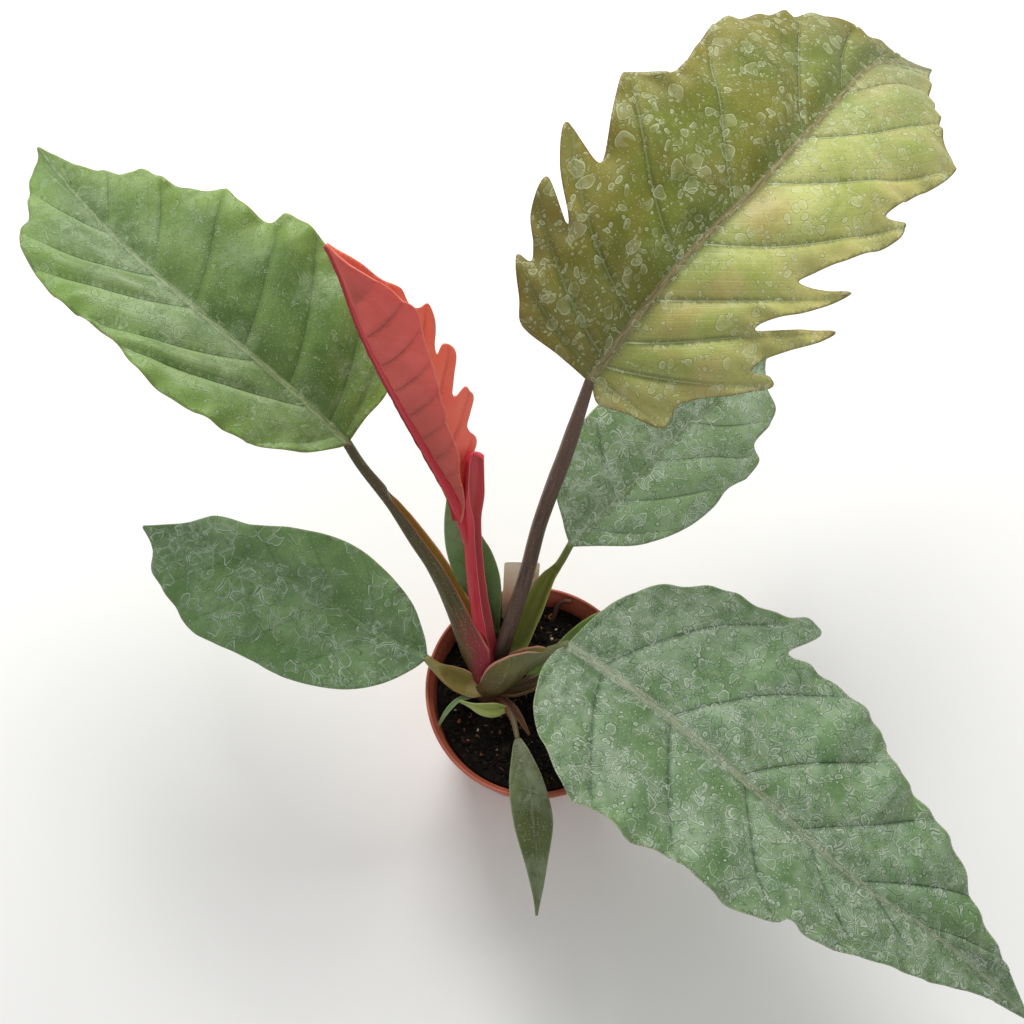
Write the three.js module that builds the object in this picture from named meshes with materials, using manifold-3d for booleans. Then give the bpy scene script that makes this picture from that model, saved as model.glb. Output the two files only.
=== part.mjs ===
// Philodendron "choco empress" in a thin round nursery pot. Millimetres, +Z up.
// The origin is the centre of the pot's flat underside. +X points to the long dark green leaf,
// +Y to the bronze leaf that stands at the back.

import * as THREE from "three";
import { mergeVertices } from "three/addons/utils/BufferGeometryUtils.js";
import Module from "manifold-3d";

const wasm = await Module();
wasm.setup();

// Driving dimensions of the pot and what fills it.
const POT_HEIGHT = 92;
const RIM_RADIUS = 52.5;
const BAND_HEIGHT = 15;
const BAND_STEP = 1.6;
const BAND_FLARE = 0.6;
const LIP_HEIGHT = 2;
const LIP_ROUND = 0.5;
const BASE_RADIUS = 37.5;
const WALL = 1.5;
const FLOOR = 2;
const SOIL_HEIGHT = 79;
const POT_SIDES = 44;
const SOIL_RINGS = 7;
const SOIL_SIDES = 32;

// Each piece keeps this far from its neighbours; blades, which bend more, a little further.
const CLEARANCE = 0.3;
const BLADE_CLEARANCE = 0.5;

// Driving dimensions of the plant.
const BLADE_THICKNESS = 0.8;
const BLADE_BASE_HALF_WIDTH = 1.6;
const BLADE_TIP_HALF_WIDTH = 0.6;
const RIB_SPACING = 10;
const LEAST_RIB_SPACING = 0.4;
const RIPPLE_LENGTH = 34;
const FULL_RIPPLE_WIDTH = 45;
const STALK_RINGS = 12;
const TROUGH_WALL = 1.4;
const LEAST_HOLLOW = 0.2;
const BOTTOM_STEPS = 6;
const TOP_STEPS = 5;
const WING_ANGLE = 35;
const WING_SPREAD = 0.25;
const CROWN_RADIUS = 9;
const CROWN_CENTRE = [-21, 4];
const CROWN_TOP = 87;
const CROWN_DEPTH = 16;
const CROWN_ROUND = 4;

const TURN = 2 * Math.PI;
const radians = THREE.MathUtils.degToRad;
const lerp = THREE.MathUtils.lerp;

function vector([x, y, z]) {
  return new THREE.Vector3(x, y, z);
}

function curveThrough(points) {
  return new THREE.CatmullRomCurve3(points.map(vector), false, "catmullrom", 0.5);
}

// A closed mesh as a solid, and back.
function solidOf(geometry) {
  const bare = geometry.index ? geometry.toNonIndexed() : geometry.clone();
  bare.deleteAttribute("normal");
  bare.deleteAttribute("uv");
  const merged = mergeVertices(bare, 1e-3);
  return new wasm.Manifold(
    new wasm.Mesh({
      numProp: 3,
      vertProperties: merged.getAttribute("position").array,
      triVerts: new Uint32Array(merged.index.array),
    }),
  );
}

function geometryOf(solid) {
  const mesh = solid.getMesh();
  const positions = new Float32Array(mesh.numVert * 3);
  for (let i = 0; i < mesh.numVert; i++) {
    const start = i * mesh.numProp;
    positions.set(mesh.vertProperties.subarray(start, start + 3), i * 3);
  }
  return new THREE.BufferGeometry()
    .setAttribute("position", new THREE.BufferAttribute(positions, 3))
    .setIndex(new THREE.BufferAttribute(mesh.triVerts, 1));
}

// What is left of a shape clear of its neighbours, without crumbs.
function clearOf(geometry, neighbours) {
  let solid = solidOf(geometry);
  for (const neighbour of neighbours) {
    solid = solid.subtract(solidOf(neighbour));
  }
  const bodies = solid.decompose();
  bodies.sort((a, b) => b.volume() - a.volume());
  return geometryOf(bodies[0]);
}

// Collects corners and faces of one closed surface.
class Surface {
  constructor() {
    this.positions = [];
    this.faces = [];
  }

  corner(point) {
    this.positions.push(point.x, point.y, point.z);
    return this.positions.length / 3 - 1;
  }

  face(a, b, c) {
    this.faces.push(a, b, c);
  }

  quad(a, b, c, d) {
    this.face(a, b, c);
    this.face(a, c, d);
  }

  geometry() {
    const attribute = new THREE.Float32BufferAttribute(this.positions, 3);
    return new THREE.BufferGeometry().setAttribute("position", attribute).setIndex(this.faces);
  }
}

// A margin is a list of [along, out, foot]: how far along the midrib and out from it a point of
// the leaf's edge lies, and where on the midrib the rib that runs to it starts.
function marginAt(margin, foot) {
  let k = 0;
  while (k < margin.length - 2 && margin[k + 1][2] < foot) {
    k++;
  }
  const share = (foot - margin[k][2]) / (margin[k + 1][2] - margin[k][2]);
  const spline = new THREE.SplineCurve(margin.map(([along, out]) => new THREE.Vector2(along, out)));
  return spline.getPoint((k + THREE.MathUtils.clamp(share, 0, 1)) / (margin.length - 1));
}

// The feet of all ribs: those of both margins, and more where they stand far apart.
function ribFeet(left, right, length) {
  const named = [...left, ...right].map(([, , foot]) => foot).sort((a, b) => a - b);
  const feet = [0];
  for (const foot of [...named, length]) {
    const last = feet[feet.length - 1];
    if (foot - last < LEAST_RIB_SPACING) {
      continue;
    }
    const steps = Math.ceil((foot - last) / RIB_SPACING);
    for (let i = 1; i <= steps; i++) {
      feet.push(last + ((foot - last) * i) / steps);
    }
  }
  return feet;
}

// A leaf blade follows its midrib. Each half leaves it at a fold angle and curls evenly, both
// going from their value at the base to that at the tip; the edge ripples up and down. Curl is
// in degrees for every 10 mm out from the midrib.
const CURL_RUN = 10;
const LEAST_BEND = 1e-5;
const FOLD_RUN = 4;

class Blade {
  constructor(shape) {
    this.shape = shape;
    this.curve = curveThrough(shape.midrib);
    this.curve.arcLengthDivisions = 400;
    this.length = this.curve.getLength();
  }

  frameAt(along) {
    const share = THREE.MathUtils.clamp(along / this.length, 0, 1);
    const tangent = this.curve.getTangentAt(share);
    const point = this.curve.getPointAt(share);
    point.addScaledVector(tangent, along - share * this.length);
    const up = vector(this.shape.facing[0]).lerp(vector(this.shape.facing[1]), share);
    up.addScaledVector(tangent, -up.dot(tangent)).normalize();
    const side = new THREE.Vector3().crossVectors(tangent, up);
    return { share, point, up, side };
  }

  // A point of the surface and the vector to its face, for a face one unit away; direction is
  // -1 left, 1 right. Beside the midrib the vector turns from straight up to the half's own
  // normal, and is longer there, so that a steep fold keeps its thickness and no face crosses.
  at(along, out, direction, ripple) {
    const { share, point, up, side } = this.frameAt(along);
    const { fold, curl } = this.shape[direction < 0 ? "left" : "right"];
    const start = radians(lerp(fold[0], fold[1], share));
    const bend = radians(lerp(curl[0], curl[1], share)) / CURL_RUN - LEAST_BEND;
    const angle = start + bend * out;
    const reach = (Math.sin(angle) - Math.sin(start)) / bend;
    const rise = (Math.cos(start) - Math.cos(angle)) / bend;
    const lean = angle * Math.min(1, out / FOLD_RUN);
    const normal = up.clone().multiplyScalar(Math.cos(lean));
    normal.addScaledVector(side, -direction * Math.sin(lean));
    normal.divideScalar(Math.cos(angle - lean));
    point.addScaledVector(side, direction * reach).addScaledVector(up, rise);
    return { point: point.addScaledVector(normal, ripple), normal };
  }

  geometry(grow = 0) {
    const { left, right, across, ripple } = this.shape;
    const half = BLADE_THICKNESS / 2 + grow;
    const start = [-grow, BLADE_BASE_HALF_WIDTH, 0];
    const end = [this.length + grow, BLADE_TIP_HALF_WIDTH, this.length];
    const grown = (margin) => {
      const whole = [start, ...margin, end];
      return whole.map(([along, out, foot]) => [along, out + grow, foot]);
    };
    const margins = { "-1": grown(left.margin), 1: grown(right.margin) };
    const feet = ribFeet(left.margin, right.margin, this.length);
    const surface = new Surface();
    const rows = feet.map((foot) => {
      const row = [];
      for (let j = -across; j <= across; j++) {
        const direction = Math.sign(j) || 1;
        const edge = marginAt(margins[direction], foot);
        const share = Math.abs(j) / across;
        const root = foot === 0 ? -grow : foot === this.length ? foot + grow : foot;
        const along = lerp(root, edge.x, share);
        const out = edge.y * share;
        const swell = Math.sin((along / RIPPLE_LENGTH) * TURN + direction) * ripple;
        const wide = Math.min(1, out / FULL_RIPPLE_WIDTH) ** 2;
        const here = this.at(along, out, direction, swell * wide);
        row.push({
          top: surface.corner(here.point.clone().addScaledVector(here.normal, half)),
          under: surface.corner(here.point.clone().addScaledVector(here.normal, -half)),
        });
      }
      return row;
    });
    this.close(surface, rows);
    return surface.geometry();
  }

  close(surface, rows) {
    const last = rows.length - 1;
    const edge = rows[0].length - 1;
    for (let i = 0; i < last; i++) {
      for (let j = 0; j < edge; j++) {
        const [a, b, c, d] = [rows[i][j], rows[i][j + 1], rows[i + 1][j + 1], rows[i + 1][j]];
        surface.quad(a.top, b.top, c.top, d.top);
        surface.face(a.under, c.under, b.under);
        surface.face(a.under, d.under, c.under);
      }
      surface.quad(rows[i][0].under, rows[i][0].top, rows[i + 1][0].top, rows[i + 1][0].under);
      const [near, far] = [rows[i][edge], rows[i + 1][edge]];
      surface.quad(near.top, near.under, far.under, far.top);
    }
    for (let j = 0; j < edge; j++) {
      surface.quad(rows[0][j].under, rows[0][j + 1].under, rows[0][j + 1].top, rows[0][j].top);
      const [a, b] = [rows[last][j], rows[last][j + 1]];
      surface.quad(a.top, b.top, b.under, a.under);
    }
  }
}

// A leaf stalk: rings along a curve. Where channel is 0 a ring is round; where it is 1 the ring
// is a trough with two wings, open towards the facing side, that clasps what grows inside it.
function ringOutline(plain, channel, wing, grow) {
  const radius = plain + grow;
  const outline = [];
  const lip = radians(WING_ANGLE);
  const tip = (sign) =>
    new THREE.Vector2(
      sign * lerp(radius * Math.cos(lip), radius + WING_SPREAD * wing, channel),
      lerp(radius * Math.sin(lip), wing + grow, channel),
    );
  outline.push(tip(-1));
  for (let i = 0; i <= BOTTOM_STEPS; i++) {
    const angle = Math.PI * (1 + i / BOTTOM_STEPS);
    outline.push(new THREE.Vector2(radius * Math.cos(angle), radius * Math.sin(angle)));
  }
  outline.push(tip(1));
  const inner = Math.max(plain - TROUGH_WALL - grow, LEAST_HOLLOW);
  for (let i = 1; i < TOP_STEPS; i++) {
    const share = i / TOP_STEPS;
    const over = lerp(lip, Math.PI - lip, share);
    const under = Math.PI * share;
    const round = new THREE.Vector2(radius * Math.cos(over), radius * Math.sin(over));
    const hollow = new THREE.Vector2(inner * Math.cos(under), -inner * Math.sin(under));
    outline.push(round.lerp(hollow, channel));
  }
  return outline;
}

// Reads a list of values spread evenly along a stalk.
function spread(values, share) {
  const place = share * (values.length - 1);
  const k = Math.min(Math.floor(place), values.length - 2);
  return lerp(values[k], values[k + 1], place - k);
}

function stalkGeometry(shape, grow = 0) {
  const { path, facing, radii, channel = [0, 0], wing = [0, 0], rings = STALK_RINGS } = shape;
  const curve = curveThrough(path);
  const surface = new Surface();
  const rows = [];
  for (let i = 0; i <= rings; i++) {
    const share = i / rings;
    const tangent = curve.getTangentAt(share);
    const open = vector(facing);
    open.addScaledVector(tangent, -open.dot(tangent)).normalize();
    const side = new THREE.Vector3().crossVectors(tangent, open);
    const sizes = [radii, channel, wing].map((values) => spread(values, share));
    const outline = ringOutline(...sizes, grow);
    const centre = curve.getPointAt(share);
    const end = i === 0 ? -grow : i === rings ? grow : 0;
    centre.addScaledVector(tangent, end);
    rows.push(
      outline.map(({ x, y }) => {
        const point = centre.clone().addScaledVector(side, x).addScaledVector(open, y);
        return surface.corner(point);
      }),
    );
    if (i === 0 || i === rings) {
      for (const [a, b, c] of THREE.ShapeUtils.triangulateShape(outline, [])) {
        const row = rows[rows.length - 1];
        if (i === 0) {
          surface.face(row[a], row[b], row[c]);
        } else {
          surface.face(row[a], row[c], row[b]);
        }
      }
    }
  }
  const count = rows[0].length;
  for (let i = 0; i < rings; i++) {
    for (let j = 0; j < count; j++) {
      const next = (j + 1) % count;
      surface.quad(rows[i][j], rows[i + 1][j], rows[i + 1][next], rows[i][next]);
    }
  }
  return surface.geometry();
}

// The pot: straight sloping wall, a band below the lip, an open top and a flat underside.
const BAND_BASE = POT_HEIGHT - BAND_HEIGHT;
const NECK_RADIUS = RIM_RADIUS - 2 * BAND_STEP - BAND_FLARE;

function potGeometry() {
  const bandRadius = NECK_RADIUS + BAND_STEP;
  const profile = [
    [0, 0],
    [BASE_RADIUS - 1, 0],
    [BASE_RADIUS, 1],
    [NECK_RADIUS, BAND_BASE],
    [bandRadius, BAND_BASE + 1],
    [bandRadius + BAND_FLARE, POT_HEIGHT - LIP_HEIGHT - 1],
    [RIM_RADIUS, POT_HEIGHT - LIP_HEIGHT],
    [RIM_RADIUS, POT_HEIGHT - LIP_ROUND],
    [RIM_RADIUS - LIP_ROUND, POT_HEIGHT],
    [RIM_RADIUS - WALL - LIP_ROUND / 2, POT_HEIGHT],
    [bandRadius - WALL, BAND_BASE + 2],
    [NECK_RADIUS - WALL, BAND_BASE],
    [BASE_RADIUS - WALL, FLOOR],
    [0, FLOOR],
  ];
  return new THREE.LatheGeometry(profile.map(([r, z]) => new THREE.Vector2(r, z)), POT_SIDES)
    .rotateX(Math.PI / 2);
}

// The inner radius of the pot's sloping wall.
function wallRadius(height) {
  return lerp(BASE_RADIUS, NECK_RADIUS, height / BAND_BASE) - WALL;
}

// The soil: a plug that reaches the wall all round, its top uneven with one slow wave and two
// quick ones.
const SOIL_WAVES = [
  { height: 0.8, acrossLength: 57, awayLength: 69, shift: 1 },
  { height: 0.4, acrossLength: 19, awayLength: 27, shift: 0 },
  { height: 0.3, acrossLength: -31, awayLength: 17, shift: 1.6 },
];

function soilHeight(x, y) {
  let height = SOIL_HEIGHT;
  for (const wave of SOIL_WAVES) {
    const turns = x / wave.acrossLength + y / wave.awayLength;
    height += wave.height * Math.sin(TURN * turns + wave.shift);
  }
  return height;
}

function soilGeometry() {
  const surface = new Surface();
  const floor = FLOOR + CLEARANCE;
  const rim = wallRadius(SOIL_HEIGHT - 3) - 2 * CLEARANCE;
  const foot = wallRadius(floor) - 2 * CLEARANCE;
  const middle = surface.corner(new THREE.Vector3(0, 0, soilHeight(0, 0)));
  const rings = [];
  for (let i = 1; i <= SOIL_RINGS; i++) {
    const ring = [];
    for (let j = 0; j < SOIL_SIDES; j++) {
      const angle = (j / SOIL_SIDES) * TURN;
      const x = ((rim * i) / SOIL_RINGS) * Math.cos(angle);
      const y = ((rim * i) / SOIL_RINGS) * Math.sin(angle);
      ring.push(surface.corner(new THREE.Vector3(x, y, soilHeight(x, y))));
    }
    rings.push(ring);
  }
  const low = [];
  const bottom = surface.corner(new THREE.Vector3(0, 0, floor));
  for (let j = 0; j < SOIL_SIDES; j++) {
    const angle = (j / SOIL_SIDES) * TURN;
    low.push(surface.corner(new THREE.Vector3(foot * Math.cos(angle), foot * Math.sin(angle), floor)));
  }
  rings.push(low);
  for (let j = 0; j < SOIL_SIDES; j++) {
    const next = (j + 1) % SOIL_SIDES;
    surface.face(middle, rings[0][j], rings[0][next]);
    surface.face(bottom, low[next], low[j]);
    for (let i = 0; i < rings.length - 1; i++) {
      surface.quad(rings[i][j], rings[i + 1][j], rings[i + 1][next], rings[i][next]);
    }
  }
  return surface.geometry();
}

// The short stem that carries all leaves, standing in a hole in the soil.
const CROWN_SIDES = 20;

function crownGeometry(grow = 0) {
  const radius = CROWN_RADIUS + grow;
  const foot = SOIL_HEIGHT - CROWN_DEPTH;
  const profile = [
    [0, foot - grow],
    [radius - CROWN_ROUND, foot - grow],
    [radius, foot + CROWN_ROUND],
    [radius, CROWN_TOP - CROWN_ROUND],
    [radius - CROWN_ROUND / 4, CROWN_TOP - CROWN_ROUND / 2 + grow],
    [radius - CROWN_ROUND, CROWN_TOP + grow],
    [0, CROWN_TOP + grow],
  ];
  return new THREE.LatheGeometry(profile.map(([r, z]) => new THREE.Vector2(r, z)), CROWN_SIDES)
    .rotateX(Math.PI / 2)
    .translate(CROWN_CENTRE[0], CROWN_CENTRE[1], 0);
}

// The plant label: a thin upright strip with rounded top corners and a pointed foot.
const LABEL_WIDTH = 17;
const LABEL_THICKNESS = 0.8;
const LABEL_LENGTH = 74;
const LABEL_LEAN = 14;
const LABEL_FOOT = [-7, 34, 55];
const LABEL_POINT_HALF_WIDTH = 1.5;
const LABEL_TAPER_LENGTH = 26;
const LABEL_CORNER = 2;

function labelGeometry(grow = 0) {
  const half = LABEL_WIDTH / 2 + grow;
  const top = LABEL_LENGTH + grow;
  const outline = new THREE.Shape();
  outline.moveTo(-LABEL_POINT_HALF_WIDTH - grow, -grow);
  outline.lineTo(LABEL_POINT_HALF_WIDTH + grow, -grow);
  outline.lineTo(half, LABEL_TAPER_LENGTH);
  outline.lineTo(half, top - LABEL_CORNER);
  outline.quadraticCurveTo(half, top, half - LABEL_CORNER, top);
  outline.lineTo(LABEL_CORNER - half, top);
  outline.quadraticCurveTo(-half, top, -half, top - LABEL_CORNER);
  outline.lineTo(-half, LABEL_TAPER_LENGTH);
  const depth = LABEL_THICKNESS + 2 * grow;
  const settings = { depth, bevelEnabled: false, curveSegments: 4 };
  return new THREE.ExtrudeGeometry(outline, settings)
    .translate(0, 0, -depth / 2)
    .rotateX(Math.PI / 2 - radians(LABEL_LEAN))
    .translate(...LABEL_FOOT);
}

// Leaf stalks. A path runs from the crown outwards; radii, channel and wing hold values spread
// evenly along it, and facing is the way the trough of a sheath opens.
const STALKS = {
  bronze: {
    path: [
      [-17.5, 12, 86], [-15, 18.5, 100], [-6.5, 38, 136], [-0.5, 56, 163], [9.5, 77, 194],
      [15.4, 91.6, 218.2],
    ],
    facing: [0, -0.6, 0.8],
    radii: [3.8, 3.8, 3.7, 3.5, 3.4, 3.6, 3.2, 2.2],
  },
  red: {
    path: [
      [-20, 8, 84], [-21.5, 17, 96], [-27, 33, 124], [-30, 46, 163], [-30, 52, 190], [-30, 60, 213],
    ],
    facing: [0.8, -0.5, 0.3],
    radii: [5.0, 5.6, 5.5, 5.2, 4.6, 4.2, 3.6, 2.4],
  },
  upperLeft: {
    path: [
      [-23, 4, 83], [-27.5, 14, 94], [-39, 37, 113], [-47.5, 49, 126], [-56, 57.5, 137],
      [-68.7, 68.5, 156], [-79.5, 75.5, 174], [-85, 79, 189],
    ],
    facing: [0.75, -0.2, 0.6],
    radii: [5.0, 6.0, 5.4, 5.0, 4.4, 3.0, 2.4, 2.1],
    channel: [0, 1, 1, 1, 0.9, 0.1, 0, 0],
    wing: [0, 3, 3, 3, 2.6, 0.6, 0, 0],
    rings: 16,
  },
  back: {
    path: [
      [-16, 11, 86], [-7.5, 20.5, 94], [-2, 32, 106], [5, 44.5, 120], [10.5, 49.5, 130],
      [15, 55, 140],
    ],
    facing: [-0.35, -0.6, 0.7],
    radii: [3.0, 3.6, 4.0, 3.8, 2.4, 1.8, 1.7],
    channel: [0, 1, 1, 1, 0.3, 0, 0],
    wing: [0, 2, 2.5, 2, 0.5, 0, 0],
  },
  lowerRight: {
    path: [
      [-24.5, 1, 84], [-18.5, 4, 90.5], [-12, 7, 97], [-4.5, 9.5, 104], [3.5, 10.5, 111],
      [13, 11.4, 120.5],
    ],
    facing: [-0.3, 0.85, 0.4],
    radii: [5.2, 7.6, 7.6, 7.0, 5.8, 4.2, 3.2],
    channel: [0, 1, 1, 0.9, 0.6, 0, 0],
    wing: [0, 5, 9, 8, 4, 0, 0],
  },
  lowerLeft: {
    path: [[-25, 0, 85], [-32, 1, 91], [-39.5, 3.5, 96], [-46.5, 6.5, 101], [-52, 10, 106]],
    facing: [0.3, 0, 1],
    radii: [4.0, 5.4, 5.6, 4.4, 2.6, 1.8],
    channel: [0, 1, 1, 0.9, 0.1, 0],
    wing: [0, 2, 2, 1.5, 0, 0],
  },
  hanging: {
    path: [[-17, -2, 84], [-13, -9, 88], [-10, -16, 92], [-8, -26, 94.6]],
    facing: [0, 0, 1],
    radii: [2.0, 2.2, 1.8, 1.4, 1.2],
    rings: 8,
  },
  lowSheath: {
    path: [[-17, -1, 85], [-8, 0, 89], [3, 3, 93], [15, 5, 97]],
    facing: [0, 0.4, 1],
    radii: [2.5, 3.8, 3.8, 2.8, 1.6],
    channel: [0, 1, 1, 0.8, 0],
    wing: [0, 1.5, 1.5, 1, 0],
    rings: 8,
  },
  juvenile: {
    path: [[-15, 26, 70], [-16, 27, 82], [-18.5, 29, 93]],
    facing: [0, -1, 0.3],
    radii: [1.6, 1.6, 1.5],
    rings: 5,
  },
};

// The dried stalk that leans on the pot's wall.
const DRIED_STALK = {
  path: [[10, 38, 76], [12, 42, 81], [13.5, 45, 85], [16, 46, 88.5], [19, 45, 91]],
  facing: [0, 0, 1],
  radii: [1.4, 1.4, 1.3, 1.1],
  rings: 6,
};

// Leaf blades. A midrib runs from the stalk to the tip. The first entry of fold, curl and facing
// holds at the base, the second at the tip. Margins are marked where a lobe or a notch turns.
const BLADES = {
  bronze: {
    midrib: [
      [16, 93, 220], [33, 110, 238], [54, 132, 254], [86, 164, 264], [120, 208, 262],
      [148, 244, 253], [188, 271, 228],
    ],
    facing: [[0.15, -0.45, 0.9], [0.25, 0.1, 0.95]],
    left: {
      fold: [14, 6],
      curl: [-2, -3],
      margin: [
        [2, 18, 2], [3, 36, 4], [12, 44, 7], [23, 54, 10], [25, 48, 12], [38, 59, 16],
        [50, 62, 20], [43, 46, 22], [46, 48, 24], [56, 62, 26], [66, 70, 28], [64, 50, 33],
        [79, 61, 42], [95, 69, 50], [107, 58, 62], [117, 55, 74], [138, 58, 92], [161, 58, 115],
        [180, 46, 140], [205, 34, 170], [217, 20, 192], [238, 7, 225],
      ],
    },
    right: {
      fold: [14, 6],
      curl: [-2, -3],
      margin: [
        [-5, 9, 1], [-1, 20, 2], [3, 35, 3], [9, 36, 4], [15, 35, 5], [27, 45, 6], [42, 59, 7],
        [46, 56, 7.6], [43, 49, 8.2], [52, 51, 8.8], [76, 62, 9.4], [84, 63, 10], [68, 49, 10.8],
        [58, 40, 12], [65, 41, 16], [83, 51, 24], [98, 57, 32], [93, 49, 34], [87, 39, 38],
        [101, 44, 46], [124, 56, 56], [137, 56, 64], [132, 47, 68], [147, 50, 80], [174, 58, 98],
        [188, 57, 112], [195, 45, 124], [215, 36, 150], [233, 23, 185], [252, 9, 225],
      ],
    },
    across: 3,
    ripple: 1.5,
  },
  red: {
    midrib: [
      [-36, 47, 181], [-39, 52, 194], [-47, 58, 214], [-60, 69, 243], [-70, 77, 272],
      [-76, 86, 292], [-81, 93, 300],
    ],
    facing: [[0.85, 0.2, 0.4], [0.85, 0.2, 0.4]],
    left: {
      fold: [64, 60],
      curl: [3, 2],
      margin: [
        [20, 7, 12], [28, 9, 20], [40, 14, 30], [54, 16, 42], [61, 18, 50], [77, 21, 65],
        [91, 23, 80], [99, 24, 88], [112, 26, 100], [117, 21, 108], [123, 14, 117], [129, 5, 126],
      ],
    },
    right: {
      fold: [62, 56],
      curl: [0, 0],
      margin: [
        [14, 6, 8], [24, 14, 14], [32, 20, 20], [38, 19, 24], [42, 20, 27], [49, 27, 31],
        [53, 27, 33], [56, 26, 35], [55, 21, 40], [57, 20, 43], [61, 23, 46], [67, 27, 51],
        [73, 29, 54], [77, 26, 56], [75, 22, 62], [80, 23, 67], [89, 27, 74], [97, 27, 80],
        [98, 23, 84], [102, 20, 90], [111, 19, 98], [118, 13, 108], [126, 8, 120], [133, 3, 130],
      ],
    },
    across: 3,
    ripple: 0.4,
  },
  upperLeft: {
    midrib: [
      [-85, 79, 189], [-109, 96, 206], [-147, 123, 222], [-181, 153, 226], [-203, 177, 224],
      [-234, 218, 214],
    ],
    facing: [[0, -0.05, 1], [0, -0.1, 1]],
    left: {
      fold: [20, 10],
      curl: [-2, -2],
      margin: [
        [3, 7, 2], [11, 18, 6], [28, 31, 16], [51, 37, 34], [67, 39, 50], [80, 38, 62],
        [94, 35, 76], [122, 38, 100], [147, 34, 125], [160, 28, 142], [166, 22, 152],
        [188, 13, 178], [204, 4, 200],
      ],
    },
    right: {
      fold: [16, 8],
      curl: [-2, -2],
      margin: [
        [2, 13, 1.5], [4, 29, 4], [18, 42, 9], [37, 52, 18], [64, 58, 34], [85, 57, 50],
        [88, 49, 58], [104, 47, 72], [117, 47, 84], [124, 39, 95], [133, 34, 106], [154, 30, 128],
        [159, 23, 140], [182, 10, 170], [202, 4, 196],
      ],
    },
    across: 3,
    ripple: 1.8,
  },
  lowerRight: {
    midrib: [
      [14, 12, 122], [47, -17, 134], [87, -53, 138], [128, -89, 130], [174, -116, 112],
      [214, -144, 88],
    ],
    facing: [[0.1, -0.1, 1], [0.3, -0.2, 0.9]],
    left: {
      fold: [10, 6],
      curl: [-2, -2],
      margin: [
        [1, 10, 1], [5, 28, 4], [14, 44, 8], [35, 62, 16], [52, 66, 24], [68, 74, 32],
        [79, 78, 38], [86, 74, 41], [80, 57, 44], [92, 60, 54], [112, 61, 70], [135, 58, 90],
        [143, 52, 100], [176, 44, 135], [198, 34, 165], [215, 20, 190], [246, 9, 235],
      ],
    },
    right: {
      fold: [22, 12],
      curl: [-2, -2],
      margin: [
        [-1, 7, 1], [2, 20, 3], [14, 39, 8], [32, 51, 18], [50, 59, 30], [64, 56, 42],
        [78, 57, 52], [92, 50, 64], [111, 49, 82], [124, 47, 95], [137, 40, 109], [141, 35, 116],
        [152, 34, 126], [177, 25, 154], [205, 19, 186], [238, 7, 228],
      ],
    },
    across: 3,
    ripple: 2,
  },
  lowerLeft: {
    midrib: [
      [-52, 10, 106], [-76, 19, 114], [-102, 35, 118], [-131, 50, 118], [-169, 67, 112],
      [-196, 77, 104],
    ],
    facing: [[-0.1, -0.25, 1], [-0.2, -0.2, 1]],
    left: {
      fold: [10, 6],
      curl: [-2, -2],
      margin: [
        [4, 8, 2], [15, 20, 8], [32, 33, 20], [51, 40, 34], [78, 41, 58], [107, 41, 88],
        [122, 34, 106], [144, 22, 132], [152, 9, 148],
      ],
    },
    right: {
      fold: [10, 6],
      curl: [-2, -2],
      margin: [
        [6, 10, 3], [18, 21, 9], [36, 27, 24], [60, 29, 45], [86, 23, 72], [104, 17, 92],
        [123, 15, 112], [138, 7, 132], [152, 3, 150],
      ],
    },
    across: 3,
    ripple: 1,
  },
  back: {
    midrib: [[15, 55, 140], [40, 79, 148], [70, 112, 151], [90, 130, 149], [121, 168, 137]],
    facing: [[0.15, -0.35, 0.95], [0.2, -0.1, 1]],
    left: {
      fold: [12, 6],
      curl: [-2, -2],
      margin: [[4, 10, 2], [15, 27, 8], [39, 37, 26], [72, 36, 58], [102, 29, 90], [132, 17, 122]],
    },
    right: {
      fold: [12, 6],
      curl: [-2, -2],
      margin: [
        [8, 9, 4], [23, 23, 14], [43, 33, 30], [60, 36, 44], [71, 35, 54], [88, 38, 68],
        [99, 35, 80], [103, 27, 90], [117, 26, 104], [127, 23, 116], [136, 12, 130], [149, 4, 147],
      ],
    },
    across: 3,
    ripple: 1,
  },
  hanging: {
    midrib: [
      [-8, -26, 95.6], [-4, -43, 98], [-2, -56, 98], [0, -71, 93], [1, -88, 87], [1, -102, 80],
    ],
    facing: [[-0.1, -0.1, 1], [0, -0.3, 1]],
    left: {
      fold: [14, 14],
      curl: [0, 0],
      margin: [[7, 4, 5], [26, 8, 22], [39, 9, 36], [57, 5, 54], [72, 2, 70]],
    },
    right: {
      fold: [14, 14],
      curl: [0, 0],
      margin: [[5, 4, 4], [21, 9, 18], [41, 9, 38], [63, 4, 60], [74, 1.5, 73]],
    },
    across: 2,
    ripple: 0.3,
  },
};

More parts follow.
